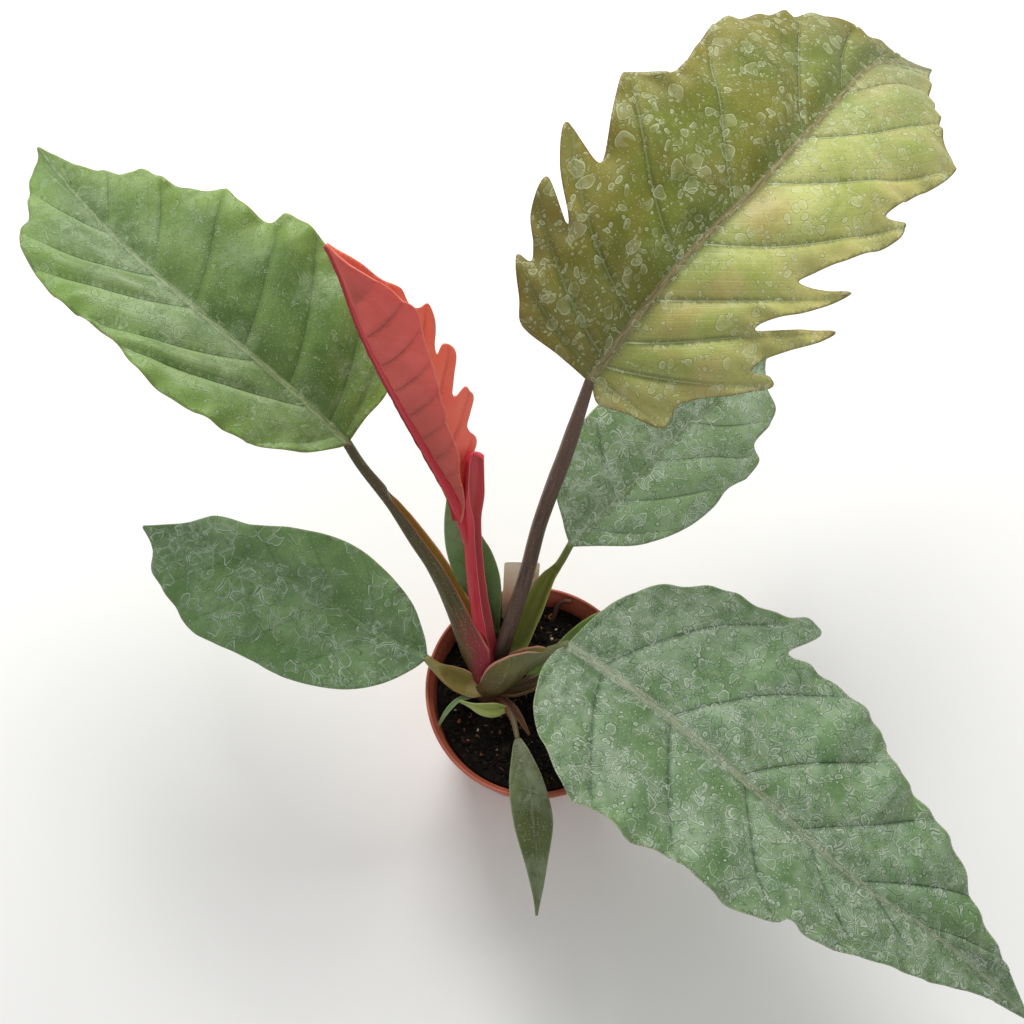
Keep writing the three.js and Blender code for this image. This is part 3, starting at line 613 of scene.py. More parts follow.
def stalk_object(name, shape, material, node):
    """A leaf stalk swept along its path, with fine lengthwise unevenness."""
    curve = Curve(shape["path"])
    rings = max(12, int(curve.length / RING_STEP))
    ways = [np.array(shape[key], float) for key in ("facing", "end_facing") if key in shape]
    vertices, values, rims, middles = [], [], [], []
    for share in np.arange(rings + 1) / rings:
        along = share * curve.length
        tangent = curve.tangent(along)
        open_way = lerp(ways[0], ways[-1], smooth(share, TWIST_START, TWIST_END))
        up = unit(open_way - (open_way @ tangent) * tangent)
        side = np.cross(tangent, up)
        spans = [shape["radii"], shape.get("channel", [0, 0]), shape.get("wing", [0, 0])]
        radius, channel, wing = (np.interp(share, np.linspace(0, 1, len(s)), s) for s in spans)
        ring = ring_outline(radius, channel, wing, shape.get("spread", WING_SPREAD))
        section = ring[:, :2]
        around = np.concatenate([[0], np.cumsum(np.linalg.norm(np.diff(section, axis=0), axis=1))])
        places = [np.multiply((x, y, along), LUMP_GRAINS) for x, y in section]
        lumps = np.array([noise.noise(Vector(place)) for place in places])
        section = section * (1 + shape.get("lumps", LUMPS) * lumps)[:, None]
        vertices += list(curve.point(along) + section[:, :1] * side + section[:, 1:] * up)
        values += [(a, along, inner) for a, inner in zip(around, ring[:, 2])]
        rims += list(ring[:, 3] * channel)
    count = len(ring)
    for first, share, way in ((0, 0.0, 1), (rings * count, 1.0, -1)):
        end = way * END_DOME * curve.tangent(share * curve.length)
        middles.append(np.mean(vertices[first : first + count], axis=0) - end)
        values.append(values[first])
        rims.append(0.0)
    vertices += middles
    made = new_object(name, vertices, closed_rings(rings + 1, count), material, node)
    store(made, "stalk", values)
    store(made, "rim", rims)


def residue_marks(graph, look, flat, grain):
    """Dried drops as closed outlines, haze, clots and specks: how much, and the painted shadow just outside
    their rims.
    """
    bend = {0: graph.noise(flat, BEND_GRAINS, 0, output="Color"), 1: [BEND, BEND, 0.0], 2: flat}
    bent = graph.node("VectorMath", bend, operation="MULTIPLY_ADD")
    region = graph.noise(flat, REGION_GRAINS, 2, 0.5, 0.6)
    dirty = region.step(look["clean"], look["clean"] + 0.16)
    favour = (region - 0.5) * REGION_FAVOUR
    crust, moat = 0.0, 0.0
    for kind, scale, least, line_share, fill_share in look["marks"]:
        ring_size = min(MOST_RING, RING_SHARE / scale)
        chance, size, _ = graph.parts(graph.cells(bent, scale, output="Color"))
        if kind == "drop":
            reach = size.step(0.0, 1.0, LEAST_DROP / scale, MOST_DROP / scale)
            wall = reach - graph.cells(bent, scale) / scale
        else:
            wall = graph.cells(bent, scale, "DISTANCE_TO_EDGE") / scale
        chosen = (chance + favour).step(least, least + 0.02)
        ring = abs(wall - ring_size).step(ring_size, 0.2 * ring_size, 0.0, line_share)
        filled = wall.step(ring_size - 0.1, ring_size + 0.1, 0.0, fill_share)
        crust = graph.larger(crust, graph.larger(ring, filled) * chosen)
        # Painted shadow: a dark line just outside each ring.
        moat = graph.larger(moat, abs(wall).step(0.8 * ring_size, 0.0) * chosen)
    wear = graph.noise(flat, WEAR_GRAINS, 2)
    crust = wear.step(0.34, 0.6, 0.3, 1.0) * crust
    chance = graph.parts(graph.cells(flat, look["speck_scale"], output="Color"))[1]
    specks = graph.cells(flat, look["speck_scale"]).step(0.34, 0.1, 0.0, look["speck_share"])
    veil = wear.step(0.25, 0.75, look["haze_share"] * 0.2, look["haze_share"])
    clot = graph.noise(flat, CLOT_GRAINS, 4, 0.6, 1.0).step(0.58, 0.7, 0.0, look["clot_share"])
    clot = clot * grain.step(0.3, 0.6, 0.5, 1.0)
    for more in (specks * chance.step(0.55, 1.0), dirty * veil, dirty * clot):
        crust = graph.larger(crust, more)
    return crust, moat


def leaf_material(name, look, length):
    """A leaf's skin: mottled green or bronze, with ribs, a midrib and whitish dried residue."""
    graph = Graph(name, "2D")
    x, y, edge = graph.parts(graph.attribute("leaf", "Vector"))
    phase, gap, hand = graph.parts(graph.attribute("ribs", "Vector"))
    under = graph.attribute("under")
    flat = graph.joined(x, y)
    out = abs(x)
    share = y / length
    line = graph.math("PINGPONG", phase, 0.5) * gap
    away = out.step(0.8, 3.0) * edge.step(0.5, 12.0, 0.3, 1.0)
    leftness = hand.step(0.1, -0.1)

    def half(key):
        """A colour of the look, with its own value for the right half where the look gives one."""
        return graph.mix(leftness, look.get("right_" + key, look[key]), look[key])

    # The ground colour of each half, then its base, tip and margin.
    grain = graph.noise(flat, SKIN_GRAINS, 3, 0.7)
    tone = (graph.noise(flat, MOTTLE_GRAINS, 3, 0.6, 0.6) * 0.8 + grain * 0.2).step(0.28, 0.72)
    dark, light = (graph.mix(leftness, look["right"][k], look["left"][k]) for k in (0, 1))
    patch = graph.noise(flat, PATCH_GRAINS, 3, 0.55, 0.8).step(0.44, 0.64, 0.0, look["patch_share"])
    from_base = share.step(0.0, look["base_reach"], look["base_share"], 0.0)
    margin = edge.step(look["margin_reach"], 0.0, 0.0, look["margin_share"])
    colour = graph.coats(
        graph.mix(tone, dark, light),
        (patch, half("patch")),
        (from_base, half("base")),
        (share.step(0.5, 1.0, 0.0, look["tip_share"]), half("tip")),
        (margin, half("margin")),
        (out.step(16.0, 1.0, 0.0, look["middle_share"]), look["band"]),
    )

    # Beside the ribs painted shade darkens the skin, with a painted highlight on one flank; a rib is a thin
    # line.
    beside = abs(graph.math("FRACT", phase) - look["flank_side"])
    band = line.step(look["band_width"], 0.3) * away
    strand = graph.math("PINGPONG", phase * look["strands"], 0.5).step(0.14, 0.0) * away
    vein = line.step(look["vein_width"], 0.12) * away

    # The midrib, wide at the base and thin at the tip, with painted shade along its sides.
    places_out = out / share.step(0.0, 1.0, look["rib"][0] * 0.8, look["rib"][1] * 0.8)
    on_rib = places_out.step(1.4, 0.7)
    streak = graph.noise(graph.joined(x, y * 0.15), STREAK_GRAINS, 2).step(0.3, 0.7)
    rim = edge.step(look["edge_width"], 0.0, 0.0, look["edge_share"])
    colour = graph.coats(
        colour,
        # Painted highlight on the lit flank of each pleat.
        (beside.step(0.03, 0.3, look["flank_share"], 0.0) * away, half("flank")),
        # Painted shade in the creases along the ribs, in the band colour.
        (band * look["band_share"], look["band"]),
        (strand * look["strand_share"], half("vein")),
        (vein * look["vein_share"], half("vein")),
        (places_out.step(2.8, 1.0, 0.0, look["rib_shadow"]), look["band"]),
        (on_rib, graph.mix(streak, look["rib_dark"], look["rib_light"])),
        (rim, look["edge"]),
    )
    bare = (1.0 - on_rib * 0.3) * (1.0 - under)
    crust, moat = (bare * mark for mark in residue_marks(graph, look, flat, grain))
    # The painted shadow beside the marks goes under the residue.
    colour = graph.coats(colour, (moat * look["moat_share"], look["band"]), (crust, look["residue"]))

    # The underside: plainer, with the same base, margin and ribs, and fainter painted shade beside the ribs.
    below = graph.coats(
        look["under"],
        (tone * 0.4, look["left"][0]),
        (from_base * 0.9, look["base"]),
        (margin * 0.8, look["margin"]),
        (band * 0.25, look["band"]),
        (vein * 0.4, look["vein"]),
        (on_rib, look["rib_light"]),
        (rim, look["edge"]),
    )
    roughness = grain.step(0.25, 0.8, look["gloss"], look["gloss"] + 0.14) + crust * 0.35
    relief = grain * 0.2 - strand * 0.15 + crust * 0.6 - moat * 0.3 - vein * look["vein_depth"]
    return graph.finish(
        graph.mix(under, colour, below), graph.math("MINIMUM", roughness, 0.9), relief, 0.24,
        Specular_IOR_Level=0.3, Subsurface_Weight=look["glow"], Subsurface_Scale=0.002,
    )


# What a leaf's look starts from. Lengths are in millimetres; a mark is a drop or crackle with its
# cells per millimetre, the chance that leaves it out, and how strong its line and its filling are.
PLAIN_LOOK = dict(
    patch_share=0.45, base_reach=0.25, base_share=0.6, tip_share=0.4, margin_reach=14.0, margin_share=0.4,
    flank_share=0.12, strands=6.0, strand_share=0.07, band_width=2.4, band_share=0.4, vein_width=0.6,
    vein_share=0.5, vein_depth=0.5, edge_width=0.8, edge_share=0.6, rib_shadow=0.4, middle_share=0.15,
    flank_side=0.0, clean=0.42, moat_share=0.45, clot_share=0.0, glow=0.0, marks=(), speck_scale=0.8,
    speck_share=0.45, haze_share=0.05, gloss=0.36,
)


def leaf_look(**own):
    return PLAIN_LOOK | own


LOOKS = {
    "bronze": leaf_look(
        # The right half is painted far lighter than the left: partly its own paler bronze, partly painted
        # light for the light falling more on that half.
        left=((98, 108, 30), (126, 136, 50)), right=((154, 166, 82), (192, 196, 120)),
        patch=(140, 128, 52), right_patch=(204, 168, 116), base=(104, 100, 34), right_base=(126, 140, 62),
        base_share=0.5, tip=(112, 132, 84), right_tip=(126, 144, 94), margin=(148, 128, 62),
        right_margin=(186, 172, 108), flank=(150, 152, 76), right_flank=(196, 200, 140), band=(68, 84, 30),
        vein=(150, 154, 96), right_vein=(206, 212, 160), edge=(126, 92, 56), rib_dark=(116, 108, 68),
        rib_light=(150, 140, 98), residue=(212, 220, 178), under=(132, 104, 72), middle_share=0.3,
        marks=(
            ("drop", 0.13, 0.62, 0.6, 0.22), ("drop", 0.24, 0.6, 0.6, 0.22), ("drop", 0.5, 0.62, 0.5, 0.3),
        ),
        speck_share=0.3, haze_share=0.06, clot_share=0.12, moat_share=0.25, rib=(2.2, 0.8), tip_share=0.85,
        band_share=0.5, band_width=3.0, vein_share=0.6, patch_share=0.42, margin_share=0.5,
        margin_reach=20.0,
    ),
    "upper_left": leaf_look(
        left=((92, 118, 66), (128, 150, 94)), right=((78, 106, 48), (114, 140, 76)), patch=(110, 134, 78),
        right_patch=(124, 148, 84), base=(84, 106, 56), right_base=(70, 104, 34), tip=(112, 136, 86),
        margin=(124, 158, 66), right_margin=(134, 162, 72), flank=(158, 180, 126),
        right_flank=(118, 144, 78), band=(56, 84, 34), vein=(78, 102, 52), edge=(158, 166, 92),
        rib_dark=(98, 116, 68), rib_light=(130, 146, 98), residue=(176, 196, 156), under=(122, 148, 62),
        marks=(
            ("drop", 0.17, 0.86, 0.5, 0.14), ("crackle", 0.5, 0.8, 0.35, 0.05),
            ("drop", 0.8, 0.66, 0.4, 0.2),
        ),
        speck_share=0.5, speck_scale=1.2, haze_share=0.18, clot_share=0.45, rib=(1.8, 0.7),
        band_share=0.32, band_width=3.2, margin_share=0.6, margin_reach=22.0, vein_share=0.3,
        flank_share=0.5, flank_side=1.0, base_reach=0.45, middle_share=0.45,
    ),
    "lower_right": leaf_look(
        left=((90, 122, 78), (120, 152, 104)), right=((84, 112, 70), (110, 138, 94)), patch=(102, 130, 78),
        base=(76, 106, 68), tip=(96, 124, 78), margin=(90, 124, 60), flank=(122, 150, 114),
        band=(48, 76, 40), vein=(56, 84, 48), edge=(176, 190, 146), edge_share=0.8,
        rib_dark=(104, 118, 84), rib_light=(134, 144, 114), residue=(200, 213, 194), under=(108, 134, 86),
        marks=(
            ("drop", 0.15, 0.6, 0.7, 0.15), ("crackle", 0.24, 0.46, 0.5, 0.06),
            ("drop", 0.42, 0.48, 0.64, 0.15),
        ),
        speck_share=0.5, haze_share=0.2, clot_share=0.4, rib=(3.0, 0.9), clean=0.3, band_share=0.5,
        vein_depth=1.0, flank_share=0.4, right_flank=(112, 142, 100), moat_share=0.8,
    ),
    "lower_left": leaf_look(
        left=((96, 131, 76), (131, 164, 105)), right=((102, 133, 82), (135, 166, 110)),
        patch=(94, 124, 68), base=(78, 102, 56), tip=(94, 124, 78), margin=(98, 130, 72),
        flank=(118, 146, 100), band=(48, 76, 36), vein=(62, 88, 50), edge=(140, 156, 108), edge_share=0.8,
        rib_dark=(92, 122, 74), rib_light=(112, 138, 92), residue=(184, 204, 180), under=(98, 120, 78),
        marks=(
            ("crackle", 0.16, 0.5, 0.7, 0.1), ("drop", 0.22, 0.72, 0.55, 0.16),
            ("drop", 0.6, 0.7, 0.5, 0.12),
        ),
        speck_share=0.4, haze_share=0.16, clot_share=0.6, rib=(1.5, 0.6), band_share=0.15, vein_share=0.2,
        vein_depth=0.2, middle_share=0.4, moat_share=0.6, clean=0.38, rib_shadow=0.15,
    ),
    "back": leaf_look(
        left=((106, 138, 90), (142, 170, 122)), right=((126, 158, 110), (162, 188, 144)),
        patch=(116, 146, 92), base=(80, 108, 58), tip=(128, 158, 110), margin=(120, 150, 92),
        flank=(156, 180, 142), band=(62, 90, 50), vein=(70, 94, 58), edge=(150, 166, 120), edge_share=0.8,
        rib_dark=(98, 120, 80), rib_light=(134, 152, 114), residue=(204, 220, 200), under=(116, 140, 96),
        marks=(
            ("crackle", 0.22, 0.42, 0.7, 0.12), ("drop", 0.3, 0.55, 0.66, 0.2),
            ("drop", 0.5, 0.5, 0.6, 0.16),
        ),
        speck_share=0.4, haze_share=0.2, clot_share=0.5, rib=(1.8, 0.7), flank_share=0.3, band_share=0.25,
        middle_share=0.25, moat_share=0.7,
    ),
    "red": leaf_look(
        # The back half, on the right, is painted near full brightness: partly its own orange-pink, partly
        # painted light for the light shining through it from behind.
        left=((176, 64, 46), (206, 88, 66)), right=((254, 118, 88), (255, 146, 116)), patch=(206, 74, 58),
        right_patch=(254, 110, 80), base=(140, 62, 44), right_base=(255, 146, 136), tip=(220, 80, 64),
        right_tip=(236, 88, 62), margin=(226, 92, 88), right_margin=(250, 118, 92), flank=(216, 104, 86),
        right_flank=(252, 134, 110), band=(138, 50, 38), vein=(150, 56, 44), right_vein=(214, 84, 62),
        edge=(238, 140, 116), rib_dark=(130, 20, 30), rib_light=(166, 34, 44), residue=(214, 136, 124),
        under=(222, 100, 92), speck_share=0.04, haze_share=0.06, rib=(2.6, 0.9), base_reach=0.75,
        base_share=0.85, band_share=0.3, gloss=0.34, vein_share=0.3, patch_share=0.4, glow=0.22,
        rib_shadow=0.2,
    ),
    "hanging": leaf_look(
        left=((74, 84, 40), (100, 112, 66)), right=((78, 88, 44), (104, 116, 70)), patch=(92, 90, 48),
        base=(84, 72, 44), tip=(92, 104, 60), margin=(92, 106, 60), flank=(112, 122, 84),
        band=(60, 68, 36), vein=(92, 104, 66), edge=(140, 148, 106), rib_dark=(84, 90, 56),
        rib_light=(112, 118, 82), residue=(160, 172, 146), under=(100, 102, 68),
        marks=(("drop", 0.24, 0.66, 0.45, 0.2), ("drop", 0.6, 0.55, 0.45, 0.16)), haze_share=0.35,
        clot_share=0.5, rib=(1.0, 0.5), edge_share=0.8,
    ),
    "juvenile": leaf_look(
        left=((74, 108, 54), (104, 140, 80)), right=((86, 120, 64), (120, 154, 94)), patch=(98, 132, 72),
        base=(84, 108, 58), tip=(106, 142, 86), margin=(112, 146, 82), flank=(122, 152, 98),
        band=(62, 92, 44), vein=(112, 142, 82), edge=(150, 170, 120), rib_dark=(84, 112, 62),
        rib_light=(118, 142, 90), residue=(176, 194, 166), under=(118, 144, 94), clot_share=0.1,
        rib=(0.9, 0.5), haze_share=0.2,
    ),
    "bud": leaf_look(
        left=((118, 136, 54), (150, 164, 86)), right=((128, 144, 62), (160, 174, 96)),
        patch=(138, 144, 68), base=(112, 112, 50), tip=(146, 156, 82), margin=(156, 164, 88),
        flank=(160, 170, 100), band=(104, 116, 48), vein=(152, 162, 94), edge=(182, 184, 126),
        rib_dark=(120, 130, 64), rib_light=(152, 160, 90), residue=(186, 192, 150), under=(140, 150, 84),
        rib=(0.7, 0.4), gloss=0.32,
    ),
    "green": leaf_look(
        left=((82, 120, 36), (118, 152, 62)), right=((90, 126, 42), (124, 158, 68)), patch=(104, 138, 52),
        base=(96, 106, 44), tip=(116, 146, 64), margin=(130, 156, 70), flank=(130, 158, 76),
        band=(72, 102, 34), vein=(130, 156, 74), edge=(184, 190, 132), rib_dark=(98, 128, 50),
        rib_light=(128, 152, 74), residue=(180, 192, 150), under=(114, 136, 66), rib=(0.8, 0.4),
        gloss=0.34,
    ),
    "remains": leaf_look(
        left=((76, 44, 30), (116, 74, 50)), right=((84, 48, 34), (124, 80, 56)), patch=(108, 74, 46),
        base=(66, 38, 26), tip=(112, 84, 56), margin=(120, 86, 60), flank=(126, 88, 64), band=(54, 30, 22),
        vein=(130, 92, 64), edge=(150, 112, 84), rib_dark=(78, 46, 32), rib_light=(120, 80, 56),
        residue=(160, 132, 106), under=(98, 62, 44), rib=(0.6, 0.4), gloss=0.6,
    ),
}


def stalk_material(name, look):
    """A leaf stalk's skin: long streaks, pores, a paler inside and coloured wing edges."""
    graph = Graph(name)
    around, along, inner = graph.parts(graph.attribute("stalk", "Vector"))
    rim = graph.attribute("rim")
    place = graph.place()
    streaks = graph.noise(graph.joined(around * 1.1, along * 0.07), 1.0, 2, 0.6, 0.2)
    blotch = graph.noise(place, BLOTCH_GRAINS, 3)
    flush = around.step(15.0, 3.0) * along.step(48.0, 18.0, 0.0, look["flush_share"])
    picked = graph.parts(graph.cells(place, PORE_GRAINS, output="Color"))[0]
    pores = graph.cells(place, PORE_GRAINS).step(0.28, 0.12) * picked.step(0.5, 0.7)
    colour = graph.coats(
        graph.mix(streaks.step(0.2, 0.8), look["dark"], look["light"]),
        (blotch.step(0.4, 0.7, 0.0, 0.5), look["blotch"]),
        (along.step(0.0, look["base_reach"], look["base_share"], 0.0), look["base"]),
        (along.step(look["top_start"], look["top_end"], 0.0, look["top_share"]), look["top"]),
        (flush, look["flush"]),
        (inner.step(0.2, 0.8), look["inner"]),
        (rim.step(0.15, 0.75), look["rim"]),
        (pores * look["speck_share"], look["speck"]),
    )
    roughness = streaks.step(0.3, 0.8, look["gloss"], look["gloss"] + 0.18)
    return graph.finish(colour, roughness, streaks * 0.6 + pores * 0.25, 0.2, Specular_IOR_Level=0.3)


PLAIN_STALK = dict(
    base_reach=30.0, base_share=0.7, top_start=60.0, top_end=120.0, top_share=0.0, speck_share=0.3,
    gloss=0.4, flush=(156, 40, 62), flush_share=0.0,
)


def stalk_look(**own):
    return PLAIN_STALK | own


STALK_LOOKS = {
    "bronze": stalk_look(
        dark=(64, 50, 42), light=(110, 88, 78), blotch=(92, 74, 56), base=(56, 44, 34), top=(110, 88, 76),
        top_share=0.8, top_start=80.0, top_end=165.0, inner=(90, 76, 56), rim=(120, 92, 76),
        speck=(176, 160, 146), speck_share=0.5,
    ),
    "red": stalk_look(
        dark=(176, 28, 44), light=(210, 54, 70), blotch=(192, 36, 54), base=(128, 36, 42),
        top=(214, 66, 80), top_share=0.7, top_end=135.0, inner=(214, 96, 100), rim=(236, 140, 140),
        speck=(190, 110, 110), gloss=0.33,
    ),
    "upper_left": stalk_look(
        dark=(60, 60, 30), light=(104, 96, 58), blotch=(84, 78, 42), base=(104, 62, 46), top=(84, 74, 60),
        top_share=0.5, inner=(142, 112, 40), rim=(206, 120, 108), speck=(176, 172, 148), speck_share=0.6,
        flush_share=0.9,
    ),
    "back": stalk_look(
        dark=(92, 102, 46), light=(122, 132, 66), blotch=(106, 114, 54), base=(84, 80, 42),
        top=(84, 96, 58), top_share=0.5, inner=(140, 148, 74), rim=(190, 192, 138), speck=(130, 138, 100),
    ),
    "lower_right": stalk_look(
        dark=(80, 82, 40), light=(122, 122, 74), blotch=(126, 114, 54), base=(92, 66, 46),
        top=(104, 110, 78), top_share=0.7, top_start=16.0, top_end=40.0, inner=(124, 112, 58),
        rim=(206, 142, 124), speck=(190, 188, 160), speck_share=0.6,
    ),
    "lower_left": stalk_look(
        dark=(142, 126, 58), light=(182, 166, 104), blotch=(160, 144, 76), base=(104, 80, 50),
        top=(112, 114, 74), top_share=0.5, top_start=15.0, top_end=32.0, inner=(152, 138, 78),
        rim=(216, 146, 130), speck=(150, 140, 110),
    ),
    "hanging": stalk_look(
        dark=(96, 62, 50), light=(126, 88, 70), blotch=(104, 80, 56), base=(92, 52, 42), top=(100, 98, 66),
        top_share=0.8, top_start=8.0, top_end=26.0, inner=(110, 90, 66), rim=(150, 112, 90),
        speck=(150, 130, 110),
    ),
    "low_sheath": stalk_look(
        dark=(94, 78, 48), light=(140, 112, 82), blotch=(128, 96, 74), base=(98, 60, 44),
        top=(150, 126, 92), top_share=0.6, top_start=12.0, top_end=34.0, inner=(108, 86, 58),
        rim=(182, 142, 118), speck=(160, 140, 110), base_reach=12.0,
    ),
    "juvenile": stalk_look(
        dark=(84, 106, 58), light=(112, 136, 82), blotch=(96, 118, 66), base=(88, 84, 52),
        top=(108, 138, 82), inner=(108, 128, 80), rim=(140, 150, 110), speck=(150, 150, 120),
    ),
    "dried": stalk_look(
        dark=(52, 32, 26), light=(92, 58, 46), blotch=(72, 46, 36), base=(46, 30, 24), top=(100, 66, 54),
        top_share=0.7, top_start=4.0, top_end=18.0, inner=(90, 60, 48), rim=(120, 90, 72),
        speck=(140, 112, 94), gloss=0.65, base_reach=8.0,
    ),
}


def plastic_material(name, main, deep, gloss):
    """Matt moulded plastic with a fine grain, dust and faint rings left by the mould."""
    graph = Graph(name)
    place = graph.place()
    cloud = graph.noise(place, 28.0, 3)
    grain = graph.noise(place, 1400.0, 3, 0.7)
    dust = graph.noise(place, 260.0, 4, 0.7)
    rings = graph.node("TexWave", {"Vector": place, "Scale": 180.0}, "Fac", bands_direction="Z")
    colour = graph.coats(
        graph.mix(cloud.step(0.35, 0.7), main, deep),
        (grain.step(0.5, 0.8, 0.0, 0.12), deep),
        (dust.step(0.6, 0.72, 0.0, 0.3), (96, 62, 44)),
    )
    return graph.finish(colour, cloud.step(0.3, 0.75, gloss, gloss + 0.15), grain * 0.6 + rings * 0.25, 0.06)


def soil_material(name, dark, light, fleck, fleck_share):
    """Peat or bark: rough and grainy."""
    graph = Graph(name)
    place = graph.place()
    cloud = graph.noise(place, 160.0, 5, 0.65)
    bits = graph.parts(graph.cells(place, 700.0, output="Color"))[0]
    ground = graph.mix(cloud.step(0.35, 0.7), dark, light)
    colour = graph.mix(bits.step(0.82, 0.95, 0.0, fleck_share), ground, fleck)
    relief = cloud + graph.noise(place, 1100.0, 4, 0.7)
    return graph.finish(colour, 0.8, relief, 0.9, Specular_IOR_Level=0.2)


def label_material():
    """Milky matt plastic, blank, a little soiled, and darker towards the bottom."""
    graph = Graph("label")
    place = graph.place()
    cloud = graph.noise(place, 60.0, 4, 0.6)
    smear = graph.noise(place, 190.0, 4, 0.7, 1.2)
    colour = graph.coats(
        graph.mix(cloud.step(0.4, 0.75, 0.0, 0.55), (255, 252, 248), (246, 236, 230)),
        (smear.step(0.58, 0.7, 0.0, 0.35), (176, 158, 138)),
        # Darker towards the bottom, from 118 mm down to 80 mm.
        (graph.parts(place)[2].step(0.118, 0.080, 0.0, 0.5), (142, 128, 110)),
    )
    relief = graph.noise(place, PORE_GRAINS, 3, 0.6)
    return graph.finish(colour, 0.5, relief, 0.05, Subsurface_Weight=0.35, Subsurface_Scale=0.003)


